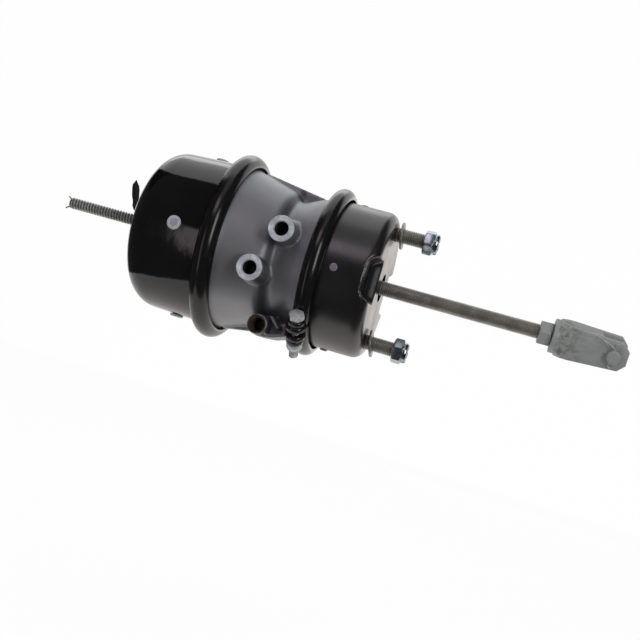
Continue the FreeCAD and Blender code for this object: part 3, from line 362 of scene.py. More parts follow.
def thread_roots(inner, outer, left=0.22):
    """Painted shade in a thread on the X axis: its roots keep only a share of the colour."""

    def cover(tree, place):
        apart = add(tree, "ShaderNodeSeparateXYZ", None, {"Vector": place})
        sides = {"Y": apart.outputs["Y"], "Z": apart.outputs["Z"]}
        flat = add(tree, "ShaderNodeCombineXYZ", None, sides)
        radius = add(tree, "ShaderNodeVectorMath", {"operation": "LENGTH"}, {0: flat.outputs["Vector"]})
        lit_share = add(
            tree,
            "ShaderNodeMapRange",
            {"From Min": inner * MM, "From Max": outer * MM, "To Min": left},
            {"Value": radius.outputs["Value"]},
        )
        return lit_share.outputs["Result"]

    return cover


def waist_painted_shade(tree, place):
    """Painted shade on the steep rear wall of the casting's waist: a narrow band of half the colour
    where shade falls in the groove.
    """
    wall_x, near, far_off, left = 111.5, 1, 5.5, 0.5
    apart = add(tree, "ShaderNodeSeparateXYZ", None, {"Vector": place})
    off = add(tree, "ShaderNodeMath", {"operation": "ADD", 1: wall_x * MM}, {0: apart.outputs["X"]})
    far = add(tree, "ShaderNodeMath", {"operation": "ABSOLUTE"}, {0: off.outputs[0]})
    lit_share = add(
        tree,
        "ShaderNodeMapRange",
        {
            "interpolation_type": "SMOOTHSTEP",
            "From Min": near * MM,
            "From Max": far_off * MM,
            "To Min": left,
        },
        {"Value": far.outputs[0]},
    )
    return lit_share.outputs["Result"]


def noise(tree, place, size_mm, detail):
    """Noise of a real size in millimetres."""
    settings = {"Scale": 1 / (size_mm * MM), "Detail": detail}
    return add(tree, "ShaderNodeTexNoise", settings, {"Vector": place}).outputs["Fac"]


def patterned(
    name, light, dark, grain_mm, blotch_mm, roughness, metallic, bump_mm, painted_shade=None, level=0.5
):
    """Surface with a fine grain, larger blotches between two colours, and a matching bump."""
    material, tree = new_material(name)
    place = add(tree, "ShaderNodeTexCoord").outputs["Object"]
    grain = noise(tree, place, grain_mm, 3)
    blotch = noise(tree, place, blotch_mm, 4)
    share = add(tree, "ShaderNodeMapRange", {"From Min": 0.35, "From Max": 0.65}, {"Value": blotch})
    tint = add(
        tree,
        "ShaderNodeMix",
        {"data_type": "RGBA", 6: colour(dark), 7: colour(light)},
        {"Factor": share.outputs["Result"]},
    )
    # Painted shade: the colour is multiplied by a mask that darkens where shade falls in grooves and
    # thread roots
    if painted_shade:
        tint = add(
            tree,
            "ShaderNodeMix",
            {"data_type": "RGBA", "blend_type": "MULTIPLY", "Factor": 1},
            {6: tint.outputs[2], 7: painted_shade(tree, place)},
        )
    rough = add(
        tree,
        "ShaderNodeMapRange",
        {"From Min": 0.3, "From Max": 0.7, "To Min": roughness * 0.88, "To Max": roughness * 1.14},
        {"Value": grain},
    )
    bump = add(
        tree,
        "ShaderNodeBump",
        {"Strength": 1, "Distance": bump_mm * MM},
        {"Height": grain},
    )
    finish_shader(
        tree,
        {"Metallic": metallic, "Specular IOR Level": level},
        {
            "Base Color": tint.outputs[2],
            "Roughness": rough.outputs["Result"],
            "Normal": bump.outputs["Normal"],
        },
    )
    return material


# Gloss alkyd paint on drawn steel: near black and mirror-like, the steel faintly wavy every 30 mm
gloss_paint = patterned("gloss_black_paint", "#0f0f10", "#0b0b0c", 30, 60, 0.08, 0, 0.3)
# Electro-dipped paint on pressed steel: black with a satin film that blurs what it mirrors
satin_paint = patterned("satin_black_paint", "#121213", "#0d0d0e", 30, 40, 0.29, 0, 0.15, level=0.85)
# The same dip on the rolled rings, a little shinier where rolling has smoothed the steel
ring_paint = patterned("ring_black_paint", "#111112", "#0c0c0d", 20, 30, 0.2, 0, 0.08)
# Gravity-cast aluminium, tumbled: dull grey skin with a sand grain of about 0.7 mm, with painted shade
# in its waist
cast_skin = patterned("cast_aluminium_skin", "#8e8f93", "#848589", 0.7, 45, 0.46, 0.78, 0.03, waist_painted_shade)
# The same metal where a cutter faced it: bright, with fine rings
machined = patterned("machined_aluminium", "#d6dbe2", "#b4bac2", 0.6, 4, 0.4, 0.5, 0.015)
# Threaded and bored inside of the ports: cut metal with oil in its roots
bored = patterned("bored_aluminium", "#5a5956", "#262423", 0.5, 5, 0.4, 0.8, 0.03)
# Spare port, left as cast and stained by oil
stained_bore = patterned("stained_bore", "#5d4837", "#241b15", 0.6, 6, 0.6, 0.4, 0.05)
# Bright zinc with a clear bluish passivate on the lock nuts: nearly a mirror
bright_zinc = patterned("bright_zinc", "#aeb9c2", "#96a3ad", 0.8, 6, 0.24, 1, 0.003)
# Hot-dip zinc on the clamp bolt: pale and matte, with a soft spangle
pale_zinc = patterned("pale_zinc", "#c3c8ca", "#9fa4a6", 0.8, 3, 0.48, 0.6, 0.02)
# Electroplated zinc on the washers, dulled by handling
washer_zinc = patterned("washer_zinc", "#a5a39d", "#8b8983", 0.9, 6, 0.4, 0.7, 0.004)
# Zinc flake coat on the release bolt: grey and dull, with painted shade in its thread roots
dark_roots = thread_roots(5.3, 6.4)
flake_zinc = patterned("flake_zinc", "#b9bcb4", "#a4a79f", 0.9, 6, 0.45, 0.6, 0.003, dark_roots)
# Phosphated and oiled steel of studs and pushrod: grey with a dull sheen
oiled_steel = patterned("oiled_steel", "#a3a19a", "#8c8a83", 0.9, 12, 0.43, 0.8, 0.003)
# Plastic of the vent plugs: grey polyamide with a moulded satin face, darker in the small ones
vent_plastic = patterned("vent_plastic", "#acafb5", "#9c9fa5", 0.9, 5, 0.4, 0, 0.005)
vent_core = patterned("vent_core_plastic", "#8b90a2", "#7f8496", 0.9, 5, 0.4, 0, 0.005)
dark_vent = patterned("dark_vent_plastic", "#77757d", "#65636b", 0.9, 5, 0.4, 0, 0.005)
# Black polyamide ring inside the lock nuts, lightly glossy
nut_polyamide = patterned("nut_polyamide", "#1d1e20", "#151618", 0.8, 5, 0.35, 0, 0.005)
# Nitrile rubber of diaphragms, seals and strap: matte black with a dusty bloom
rubber = patterned("nitrile_rubber", "#1f1f20", "#141415", 0.8, 12, 0.62, 0, 0.02)
# Epoxy-coated spring wire
coated_wire = patterned("epoxy_coated_wire", "#26323d", "#1b242c", 0.8, 14, 0.34, 0, 0.008)
# Acetal guide bush: off-white and slick
acetal = patterned("acetal_bush", "#d9d6cb", "#cbc7ba", 0.8, 12, 0.35, 0, 0.005)


def galvanised():
    """Hot-dip galvanised forging: matte grey, drawn along X, with brown handling stains at its rear."""
    streaks_per_mm, blotches_per_mm = 0.9, 0.17
    stain_from, stain_full, stain_thin, stain_to = 188, 194, 196, 222
    material, tree = new_material("galvanised_steel")
    place = add(tree, "ShaderNodeTexCoord").outputs["Object"]
    drawn = add(tree, "ShaderNodeMapping", {"Scale": (0.12, 1, 1)}, {"Vector": place})
    lines = add(
        tree,
        "ShaderNodeTexNoise",
        {"Scale": streaks_per_mm / MM, "Detail": 3},
        {"Vector": drawn.outputs["Vector"]},
    )
    blotch = add(
        tree,
        "ShaderNodeTexNoise",
        {"Scale": blotches_per_mm / MM, "Detail": 6, "Roughness": 0.62},
        {"Vector": place},
    )
    apart = add(tree, "ShaderNodeSeparateXYZ", None, {"Vector": place})
    rear = add(
        tree,
        "ShaderNodeMapRange",
        {"From Min": stain_to * MM, "From Max": stain_thin * MM},
        {"Value": apart.outputs["X"]},
    )
    front_edge = add(
        tree,
        "ShaderNodeMapRange",
        {"From Min": stain_from * MM, "From Max": stain_full * MM},
        {"Value": apart.outputs["X"]},
    )
    patch = add(
        tree,
        "ShaderNodeMapRange",
        {"From Min": 0.46, "From Max": 0.58, "To Max": 0.8},
        {"Value": blotch.outputs["Fac"]},
    )
    stain = add(
        tree,
        "ShaderNodeMath",
        {"operation": "MULTIPLY"},
        {0: patch.outputs["Result"], 1: rear.outputs["Result"]},
    )
    stain = add(
        tree,
        "ShaderNodeMath",
        {"operation": "MULTIPLY"},
        {0: stain.outputs[0], 1: front_edge.outputs["Result"]},
    )
    base = add(
        tree,
        "ShaderNodeMix",
        {"data_type": "RGBA", 6: colour("#8d9291"), 7: colour("#a2a6a4")},
        {"Factor": lines.outputs["Fac"]},
    )
    tint = add(
        tree,
        "ShaderNodeMix",
        {"data_type": "RGBA", 7: colour("#6c6960")},
        {"Factor": stain.outputs[0], 6: base.outputs[2]},
    )
    bump = add(
        tree,
        "ShaderNodeBump",
        {"Strength": 1, "Distance": 0.02 * MM},
        {"Height": lines.outputs["Fac"]},
    )
    finish_shader(
        tree,
        {"Metallic": 0.35, "Roughness": 0.55},
        {"Base Color": tint.outputs[2], "Normal": bump.outputs["Normal"]},
    )
    return material


galvanised_steel = galvanised()


# Camera of the photograph, from a fit with the two studs as its scale

IMAGE_PX = 640
FOCAL_PX = 897.05
SENSOR_MM = 36
view_from = Vector((0.12155, -0.95750, -0.09045))
around = math.radians(10.4376)
above = math.radians(-2.3077)
roll = math.radians(16.3945)
back = Vector(
    (math.sin(around) * math.cos(above), -math.cos(around) * math.cos(above), math.sin(above))
)
level_right = Vector((math.cos(around), math.sin(around), 0))
level_up = back.cross(level_right)
right = level_right * math.cos(roll) + level_up * math.sin(roll)
up = level_up * math.cos(roll) - level_right * math.sin(roll)
camera_data = bpy.data.cameras.new("camera")
camera_data.sensor_width = SENSOR_MM
camera_data.lens = SENSOR_MM * FOCAL_PX / IMAGE_PX
camera_data.clip_start = 0.01
camera = bpy.data.objects.new("camera", camera_data)
camera.matrix_world = Matrix.Translation(view_from) @ Matrix((right, up, back)).transposed().to_4x4()
scene.collection.objects.link(camera)
scene.camera = camera
scene.view_settings.view_transform = "Standard"


# Spring housing: a deep drawn bowl in gloss paint

spring_bowl = turned(
    [
        (-268, 8, 0.6),
        (-268, 87.2, 28),
        (-177, 90.4, 2.5),
        (-177, 97.5, 1),
        (-174, 97.5, 1),
        (-174, 86.9, 2),
        (-264.5, 83.7, 24.5),
        (-264.5, 8, 0.6),
    ],
    192,
)
finished("spring_bowl", spring_bowl, gloss_paint, "chamber", ["spring_housing"])


def rolled_ring(x, centre, outer, wall, start=0, sweep=360, steps=192):
    """Ring of a rolled half-round channel that closes over two flanges."""
    shape = bmesh.new()
    inner = outer - wall
    whole = sweep == 360
    ends = []
    for radius in (outer, inner):
        point = shape.verts.new(((x - radius) * MM, 0, centre * MM))
        made = bmesh.ops.spin(
            shape,
            geom=[point],
            cent=(x * MM, 0, centre * MM),
            axis=(0, 1, 0),
            angle=math.pi,
            steps=28,
        )
        last = [item for item in made["geom_last"] if isinstance(item, bmesh.types.BMVert)][0]
        ends.append((point, last))
    shape.edges.new((ends[0][0], ends[1][0]))
    shape.edges.new((ends[0][1], ends[1][1]))
    turn = Matrix.Rotation(math.radians(start), 4, "X")
    bmesh.ops.remove_doubles(shape, verts=shape.verts[:], dist=1e-6)
    bmesh.ops.spin(
        shape,
        geom=shape.verts[:] + shape.edges[:],
        cent=(0, 0, 0),
        axis=(1, 0, 0),
        angle=math.radians(sweep),
        steps=steps,
        use_merge=whole,
    )
    bmesh.ops.remove_doubles(shape, verts=shape.verts[:], dist=1e-6)
    if not whole:
        bmesh.ops.holes_fill(shape, edges=[e for e in shape.edges if e.is_boundary], sides=0)
    bmesh.ops.recalc_face_normals(shape, faces=shape.faces[:])
    return moved(softened(shape, 0.6, 60), turn)


finished(
    "spring_ring",
    rolled_ring(-172, 92.3, 10.95, 2.55),
    ring_paint,
    "chamber",
    ["spring_joint_ring"],
)


# Service housing: a pressed cup with two recesses beside its mounting face


def recess_tool(side, start, near, half):
    """Drafted block with rounded edges that sinks one recess into the end of the cup."""
    depth, rim, rounded_to = 11, 96, 80
    draft = depth * math.tan(math.radians(30))
    shape = block((start - depth, near, -half), (start, rim, half))
    floor = [v for v in shape.verts if v.co.x < (start - depth / 2) * MM]
    narrow = (half - draft) / half
    bmesh.ops.scale(shape, vec=(1, 1, narrow), verts=floor)
    inner_edge = [v for v in floor if v.co.y < (near + 1) * MM]
    bmesh.ops.translate(shape, vec=(0, draft * MM, 0), verts=inner_edge)
    moved(shape, Matrix.Rotation(math.radians(0 if side > 0 else 180), 4, "X"))
    bmesh.ops.recalc_face_normals(shape, faces=shape.faces[:])

    def is_inside(middle):
        return middle.x < (start - 0.5) * MM and abs(middle.y) < rounded_to * MM

    return softened(shape, 5, 20, 5, is_inside)


cup = turned(
    [(0, 0, 0), (0, 80.5, 12), (-58, 80.5, 2.5), (-58, 88, 1), (-61, 88, 1), (-61, 0, 0)], 192
)
room = turned([(-3.5, 0, 0), (-3.5, 77.7, 9.2), (-66, 77.7, 0), (-66, 0, 0)], 192)
for side in (1, -1):
    cup = worked(cup, recess_tool(side, 0.01, 39, 24), "DIFFERENCE")
    room = worked(room, recess_tool(side, -3.49, 37.6, 25.4), "DIFFERENCE")
cup = melted(cup, 1, 16)
holes = []
for radius, height in ((15.5, 0), (8.5, STUD_HEIGHT), (8.5, -STUD_HEIGHT)):
    hole_place = Matrix.Translation((0, 0, height * MM))
    holes.append(turned([(-20, 0, 0), (-20, radius, 0), (5, radius, 0), (5, 0, 0)], 48, hole_place))
cup = worked(cup, room, "DIFFERENCE")
cup = worked(cup, joined(*holes), "DIFFERENCE")
finished("service_cup", cup, satin_paint, "chamber", ["service_housing"], 30)


# Flange casting: bowls, ribs and bosses run together with the soft fillets of a casting


def along_port(x, z):
    """Turns the X axis towards the ports' side and puts it on a port's line."""
    return Matrix.Translation((x * MM, 0, z * MM)) @ Matrix.Rotation(math.radians(-90), 4, "Z")


def rib(angle):
    """Rib along the casting's waist, 6 mm thick, at an angle about the X axis."""
    corners = ((-157, 83), (-157, 89.3), (-86, 77.8), (-86, 71.5), (-103, 64), (-108, 64), (-117, 73))
    shape = plate([(x, -3, r) for x, r in corners], (0, 6, 0))
    return moved(shape, Matrix.Rotation(math.radians(angle), 4, "X"))


def slab(near, far, corners):
    """Plate of the casting between two depths, its outline given in x and z."""
    return plate([(x, near, z) for x, z in corners], (0, far - near, 0))


# Each port: x, z, depth of its face, radius of the face, radius of the foot, bottom of the bore
ports = ((-100.6, 21.8, 97.5, 13.5, 16, 61), (-120.8, -23.9, 97.5, 13.5, 16, 67))
port_bore = 7.25
waist_radius = 67.5
casting = turned(
    [
        (-170, 97.5, 1),
        (-166, 97.5, 1),
        (-166, 90.4, 1.5),
        (-160, 88, 2),
        (-117, 76, 3),
        (-108, waist_radius, 2),
        (-103, waist_radius, 2),
        (-83, 76.5, 4),
        (-69, 78.9, 2),
        (-68, 88, 1),
        (-65, 88, 1),
        (-65, 79.5, 1),
        (-83, 71.7, 3),
        (-94, 57, 4),
        (-94, 25.2, 0.5),
        (-96.5, 25.2, 0),
        (-96.5, 14.5, 0),
        (-128, 14.5, 0),
        (-128, 28, 1),
        (-114, 29.2, 2),
        (-114, 58, 4),
        (-118.8, 71.7, 3),
        (-164.8, 83.2, 2),
        (-170, 84.8, 0.5),
    ],
    160,
)
pieces = [casting] + [rib(angle) for angle in (0, 180, -90)]
for x, z, face, radius, base, _ in ports:
    foot = math.sqrt(waist_radius**2 - z**2) - 4
    boss = [
        (foot - 6, 0, 0),
        (foot - 6, base, 0),
        (foot + 5, base, 1),
        (foot + 8, radius, 2),
        (face, radius, 0),
        (face, 0, 0),
    ]
    pieces.append(turned(boss, 64, along_port(x, z)))
pieces.append(turned([(7, 0, 0), (7, 10.8, 0), (63, 10.8, 0), (63, 0, 0)], 64, along_port(*SPARE_PORT)))

# Ledge beside the spare port, the body under it, and the ridge above it
ledge = ((-104, -87.4), (-104, -82.6), (-90, -81.6), (-74, -76.8), (-74, -80.5), (-90, -86))
body = ((-104, -84), (-104, -70), (-74, -66), (-74, -78), (-90, -83))
ridge = ((-96, -64), (-93, -63), (-82.4, -73.2), (-84.6, -75.4))
pieces += [slab(-60, -16, ledge), slab(-44, -16, body), slab(-60, -30, ridge)]
casting = melted(joined(*pieces), 1.2, 5)
bores = []
for x, z, face, _, _, bottom in ports:
    bore = [(bottom, 0, 0), (bottom, 8.3, 0), (face + 2, 8.3, 0), (face + 2, 0, 0)]
    bores.append(turned(bore, 48, along_port(x, z)))
bores.append(turned([(33, 0, 0), (33, 9.5, 0), (66, 9.5, 0), (66, 0, 0)], 48, along_port(*SPARE_PORT)))
casting = worked(casting, joined(*bores), "DIFFERENCE")
finished("casting_skin", casting, cast_skin, "chamber", ["flange_casting"], 50)


def port_lining(x, z, face, rim, bottom, bore, sink):
    """Faced rim with turning rings, countersink and threads of one port."""
    cuts, pitch = 5, 1.8
    seat = []
    for step in range(cuts):
        radius = rim - 0.5 - step * (rim - bore - sink - 0.8) / cuts
        seat += [(face + 0.25, radius, 0), (face + 0.1, radius - 0.25, 0)]
    rings = turned(
        [(face - 3, rim - 0.2, 0), (face, rim - 0.2, 0)]
        + seat
        + [(face + 0.25, bore + sink, 0), (face - sink * 1.4, bore, 0), (face - 3, bore, 0)],
        96,
        along_port(x, z),
    )
    turns = []
    depth = face - 3
    while depth > bottom + pitch + 0.1:
        turns += [(depth, bore, 0), (depth - pitch / 2, bore + 0.7, 0)]
        depth -= pitch
    turns += [(depth, bore, 0), (bottom, bore, 0), (bottom, bore + 1.2, 0), (face - 3, bore + 1.2, 0)]
    return rings, turned(turns, 64, along_port(x, z))


linings = []
for x, z, face, radius, _, bottom in ports:
    linings.append(port_lining(x, z, face, radius, bottom, port_bore, 0.8))
rings, threads = zip(*linings)
finished("port_faces", joined(*rings), machined, "chamber", sharp=20)
finished("port_threads", joined(*threads), bored, "chamber", sharp=20)
spare_rings, spare_threads = port_lining(*SPARE_PORT, 62.5, 9.8, 33.5, port_bore, 1.5)
finished("spare_port_lip", spare_rings, stained_bore, "chamber", sharp=20)
finished("spare_port_threads", spare_threads, stained_bore, "chamber", sharp=20)


# Clamp band, its ears, bolt and nut

bolt_angle, bolt_radius = 45, 100
half_gap, band_radius = 3.2, 92
to_bolt = Matrix.Rotation(math.radians(bolt_angle), 4, "X")
down_bolt = (
    to_bolt
    @ Matrix.Translation((CLAMP_X * MM, -bolt_radius * MM, 0))
    @ Matrix.Rotation(math.radians(90), 4, "Y")
)
gap_angle = math.degrees(half_gap / band_radius)
band = rolled_ring(CLAMP_X, 83.5, 9.5, 2.5, 90 + bolt_angle + gap_angle, 360 - gap_angle * 2, 188)
ears = []
for side in (1, -1):
    ear = [(2.6, 5.2, 0.4), (2.6, 10.7, 2.4), (9.6, 10.7, 2.8), (9.6, 5.2, 0.4)]
    ear = turned([(side * away, r, rounding) for away, r, rounding in ear], 56, down_bolt)
    collar = [(9.8, 5.2, 0.3), (9.8, 9.2, 1.8), (16.2, 9.2, 2.2), (16.2, 5.2, 0.3)]
    collar = turned([(side * away, r, rounding) for away, r, rounding in collar], 56, down_bolt)
    low, high = sorted((side * 2.8, side * 12))
    root = block((CLAMP_X - 7, -98, low), (CLAMP_X + 7, -88, high), to_bolt)
    ears += [ear, collar, softened(root, 1.5, 40, 3)]
band = joined(band, *ears)
finished("clamp_band", band, ring_paint, "chamber", ["service_clamp_band"], 40)
head = hexagon(14.3, -21.9, 5.6, 0, 33, down_bolt)
shank = moved(threaded(-17, 36, 4.75, 4.1, 1.6, 24), down_bolt)
finished("clamp_bolt_zinc", joined(head, shank), pale_zinc, "chamber", ["clamp_bolt"])
nut = hexagon(14.3, 16.4, 8.3, 4.85, 14, down_bolt)
finished("clamp_nut_zinc", nut, pale_zinc, "chamber", ["clamp_nut"])


# Mounting studs with washers and lock nuts

washer_x = 6
studs, washers, nuts, nut_rings = [], [], [], []
for height, turn, lean in ((STUD_HEIGHT, 20, -7), (-STUD_HEIGHT, -14, -12)):
    place = Matrix.Translation((0, 0, height * MM))
    stud = threaded(-3.5, 46, 8, 7.3, 2, 32)
    limit = turned([(-4, 0, 0), (-4, 9, 0), (44.4, 9, 0), (45.8, 7, 0), (45.8, 0, 0)], 32)
    head = turned([(-8, 0, 0), (-8, 12.5, 0.5), (-6.5, 12.5, 0.3), (-3.5, 9.5, 0.3), (-3.5, 0, 0)], 48)
    studs.append(moved(joined(worked(stud, limit, "INTERSECT"), head), place))
    tilt = (
        place
        @ Matrix.Translation((washer_x * MM, 0, 0))
        @ Matrix.Rotation(math.radians(lean), 4, "Y")
        @ Matrix.Translation((-washer_x * MM, 0, 0))
    )
    washers.append(
        turned([(4.7, 8.7, 0.3), (4.7, 14.7, 0.7), (7.3, 14.7, 0.7), (7.3, 8.7, 0.3)], 64, tilt)
    )
    nuts.append(hexagon(HEX_FLATS, 30.4, 11.2, 8.05, turn, place))
    crown = turned(
        [
            (41.3, 8.6, 0),
            (41.3, 11.2, 0),
            (44.6, 11.2, 1.4),
            (46.2, 9.9, 0.4),
            (45.7, 9, 0),
            (44.4, 8.6, 0),
        ],
        72,
    )
    for slot_turn in (20, 80, 140):
        slot_place = Matrix.Rotation(math.radians(slot_turn), 4, "X")
        crown = worked(crown, block((43.2, -13, -1.5), (47, 13, 1.5), slot_place), "DIFFERENCE")
    nuts.append(moved(crown, place))
    nut_rings.append(turned([(42, 8.05, 0), (42, 9, 0), (45.5, 9.1, 0.4), (45.5, 8.05, 0.4)], 64, place))
finished("stud_threads", joined(*studs), oiled_steel, "chamber", ["mounting_studs"], 30)
finished("stud_washer_pair", joined(*washers), washer_zinc, "chamber", ["stud_washers"])
finished("stud_lock_nuts", joined(*nuts), bright_zinc, "chamber", ["stud_nuts"])
finished("stud_nut_rings", joined(*nut_rings), nut_polyamide, "chamber")


# Vent plugs round the two housings


def on_side(x, radius, quarter):
    """Stands a piece turned about X on the housing, pointing out to one of the four sides."""
    return (
        Matrix.Rotation(math.radians(90 * quarter), 4, "X")
        @ Matrix.Translation((x * MM, 0, radius * MM))
        @ Matrix.Rotation(math.radians(-90), 4, "Y")
    )


def four_round(x, radius, corners, steps):
    """The same turned piece on the four sides of a housing, as one mesh."""
    return joined(*[turned(corners, steps, on_side(x, radius, quarter)) for quarter in range(4)])


large_rim = [
    (-6, 0, 0),
    (-6, 4.9, 0.5),
    (0.1, 4.9, 0),
    (0.1, 7.5, 0.3),
    (2.2, 7.3, 1.1),
    (2.9, 5.2, 0.6),
    (2.1, 4.1, 0.3),
    (2.1, 0, 0),
]
large_core = [(1.8, 0, 0), (1.8, 3.7, 0), (2.7, 3.5, 0.5), (2.9, 0, 0)]
small_rim = [
    (-4, 0, 0),
    (-4, 2.9, 0.3),
    (0.1, 2.9, 0),
    (0.1, 4.3, 0.2),
    (1.4, 4, 0.7),
    (1.8, 2.2, 0.3),
    (1.3, 1.8, 0),
    (1.3, 0, 0),
]
small_core = [(1.1, 0, 0), (1.1, 1.7, 0), (1.9, 1.5, 0.3), (2, 0, 0)]
rims = four_round(-212.5, 89.3, large_rim, 48)
cores = four_round(-212.5, 89.3, large_core, 48)
finished("large_vent_rims", rims, vent_plastic, "chamber", ["spring_vent_plugs"])
finished("large_vent_cores", cores, vent_core, "chamber")
rims = four_round(-42, 80.5, small_rim, 40)
cores = four_round(-42, 80.5, small_core, 40)
finished("small_vent_rims", rims, dark_vent, "chamber", ["service_vent_plugs"])
finished("small_vent_cores", cores, dark_vent, "chamber")


# Pushrod, lock nut and clevis

rod_root = turned([(-87, 0, 0), (-87, 8, 0), (-59, 8, 0.5), (-59, 0, 0)], 48)
rod = joined(threaded(-60, 204, 8, 7.35, 2, 32), rod_root)
finished("pushrod_thread", rod, oiled_steel, "pushrod_group", ["pushrod"], 30)
nut = hexagon(HEX_FLATS, 171.3, 13, 8.1, 6)
finished("jam_nut", nut, galvanised_steel, "pushrod_group", ["pushrod_lock_nut"])

clevis_turn = Matrix.Rotation(math.radians(20), 4, "X")
fork_rear, fork_tip = 190.5, 262
rear_width, tip_width = 35.8, 28.4
fork = block((fork_rear, -16, -rear_width / 2), (fork_tip, 16, rear_width / 2))
tip_corners = [v for v in fork.verts if v.co.x > (fork_tip - 2) * MM]
bmesh.ops.scale(fork, vec=(1, 1, tip_width / rear_width), verts=tip_corners)


def is_tip_corner(middle):
    return middle.x > (fork_tip - 1) * MM and abs(middle.z) > 12 * MM


fork = softened(fork, 7, 40, 1, is_tip_corner)
barrel = turned(
    [
        (fork_rear, 0, 0),
        (fork_rear, 19.6, 0.8),
        (198, 22.8, 4),
        (215, 24.4, 6),
        (232, 24.6, 6),
        (fork_tip + 1, 24.6, 0),
        (fork_tip + 1, 0, 0),
    ],
    96,
)
fork = worked(fork, barrel, "INTERSECT")
spigot = turned([(185, 0, 0), (185, 18.2, 1.1), (191, 18.2, 0), (191, 0, 0)], 96)
fork = worked(fork, spigot, "UNION")
fork = worked(fork, block((234, -8.5, -30), (280, 8.5, 30)), "DIFFERENCE")
across = Matrix.Rotation(math.radians(90), 4, "Z")
pin_hole = turned([(-30, 0, 0), (-30, 7.05, 0), (30, 7.05, 0), (30, 0, 0)], 64)
to_pin = Matrix.Translation((CLEVIS_PIN_X * MM, 0, 0))
fork = worked(fork, moved(pin_hole, to_pin @ across), "DIFFERENCE")
rod_hole = turned([(180, 0, 0), (180, 8.1, 0), (230, 8.1, 0), (230, 0, 0)], 48)
fork = worked(fork, rod_hole, "DIFFERENCE")
fork = moved(softened(fork, 0.7, 35, 3), clevis_turn)
finished("clevis_fork", fork, galvanised_steel, "pushrod_group", ["clevis"], 30)

pin = turned(
    [
        (-24, 0, 0),
        (-24, 6.1, 0.6),
        (-23.1, 7, 0.3),
        (16.3, 7, 0),
        (16.3, 9.5, 0.5),
        (19.8, 9.5, 0.9),
        (19.8, 0, 0),
    ],
    72,
    to_pin @ clevis_turn @ across,
)
finished(
    "clevis_pin_turned",
    pin,
    galvanised_steel,
    "clevis_pin_group",
    ["clevis_pin"],
)
eye = wire(
    "split_pin",
    [
        [
            (0, -20, 8),
            (0.2, -20, 0),
            (-0.4, -20, -7),
            (-3, -20, -9.4),
            (-1.6, -20, -12.2),
            (1.4, -20, -10.6),
            (0.8, -20, -7),
        ],
        [(0, -20, 6.5), (-0.8, -20, 8.2), (-6, -20.3, 11.6), (-19, -20.8, 17)],
        [(0.8, -20, 6.5), (1.2, -20, 8.5), (0.6, -20.3, 14.2)],
    ],
    0.75,
)
eye = moved(eye, to_pin @ clevis_turn)
finished("clevis_split_wire", eye, pale_zinc, "clevis_pin_group", ["clevis_split_pin"])


# Release bolt at the rear, with its split pin, washer, nut and rubber strap

bolt = threaded(-373, -262, 6.5, 5.3, 3.5, 32)
bolt_limit = turned([(-373.2, 0, 0), (-373.2, 5, 0), (-371, 7.5, 0), (-260, 7.5, 0), (-260, 0, 0)], 40)
bolt = worked(bolt, bolt_limit, "INTERSECT")
bolt_root = turned([(-263, 0, 0), (-263, 6.5, 0), (-210, 6.5, 0), (-210, 0, 0)], 48)
bolt_head = softened(block((-212.1, -5.5, -11), (-205.1, 5.5, 11)), 0.8, 40, 2)
bolt = joined(bolt, bolt_root, bolt_head)
finished("release_bolt_thread", bolt, flake_zinc, "power_piston", ["release_bolt"], 30)
prongs = wire(
    "release_pin",
    [
        [(-368, 6, 1), (-368, 0, 0.6), (-368, -6.2, 0.6), (-368.8, -7.6, 2.4), (-373.6, -8, 5.6)],
        [(-368, 5.6, -2), (-369.6, 7, -2), (-377.7, 6, -3.8), (-380.6, 5, -7.1)],
    ],
    0.8,
)
finished("release_pin_wire", prongs, oiled_steel, "power_piston", ["release_split_pin"])
washer = turned([(-271, 7.5, 0.3), (-271, 15, 0.7), (-268, 15, 0.7), (-268, 7.5, 0.3)], 64)
finished("release_washer_zinc", washer, washer_zinc, "chamber", ["release_washer"])
nut = hexagon(HEX_FLATS, -286.05, 15, 6.55, 10)
finished("release_nut_zinc", nut, flake_zinc, "release_nut", ["release_nut"])

ring = turned([(-289.3, 6.8, 0.4), (-289.3, 12, 0.8), (-286.4, 12, 0.8), (-286.4, 6.8, 0.4)], 64)
leaf_rear, leaf_thickness = -287.9, 2.4
leaf_middle = (leaf_rear + leaf_thickness / 2) * MM
half_leaf = (
    (0, 9),
    (4.4, 10),
    (4.6, 15),
    (3, 20),
    (4.6, 26),
    (4.8, 34),
    (4.2, 39),
    (1.4, 42.4),
    (0, 45),
)
left_edge = [(leaf_rear, -y, z) for y, z in half_leaf]
right_edge = [(leaf_rear, y, z) for y, z in reversed(half_leaf[1:-1])]
leaf = plate(left_edge + right_edge, (leaf_thickness, 0, 0))

# The leaf springs away from the ring, leans to the rear and is twisted
TWIST, TWIST_FROM, TWIST_LENGTH = -32, 12, 10
SPRUNG_FROM, SPRUNG_STEEP, SPRUNG_FAR, LEAN = 8.7, 6, 9.8, 0.26
for vert in leaf.verts:
    past = max(0, vert.co.z - TWIST_FROM * MM)
    share = min(1, past / (TWIST_LENGTH * MM))
    sprung = max(0, (vert.co.z - SPRUNG_FROM * MM) * SPRUNG_STEEP)
    twist = Matrix.Rotation(math.radians(TWIST * share), 3, "Z")
    twisted = twist @ Vector((vert.co.x - leaf_middle, vert.co.y, 0))
    vert.co.x = twisted.x + leaf_middle - min(sprung, SPRUNG_FAR * MM + past * LEAN)
    vert.co.y = twisted.y
strap = joined(ring, softened(leaf, 0.6, 30, 2))
finished("dust_strap", strap, rubber, "chamber", ["dust_cap_strap"])


# Inner pieces keep their solids and get their own finishes

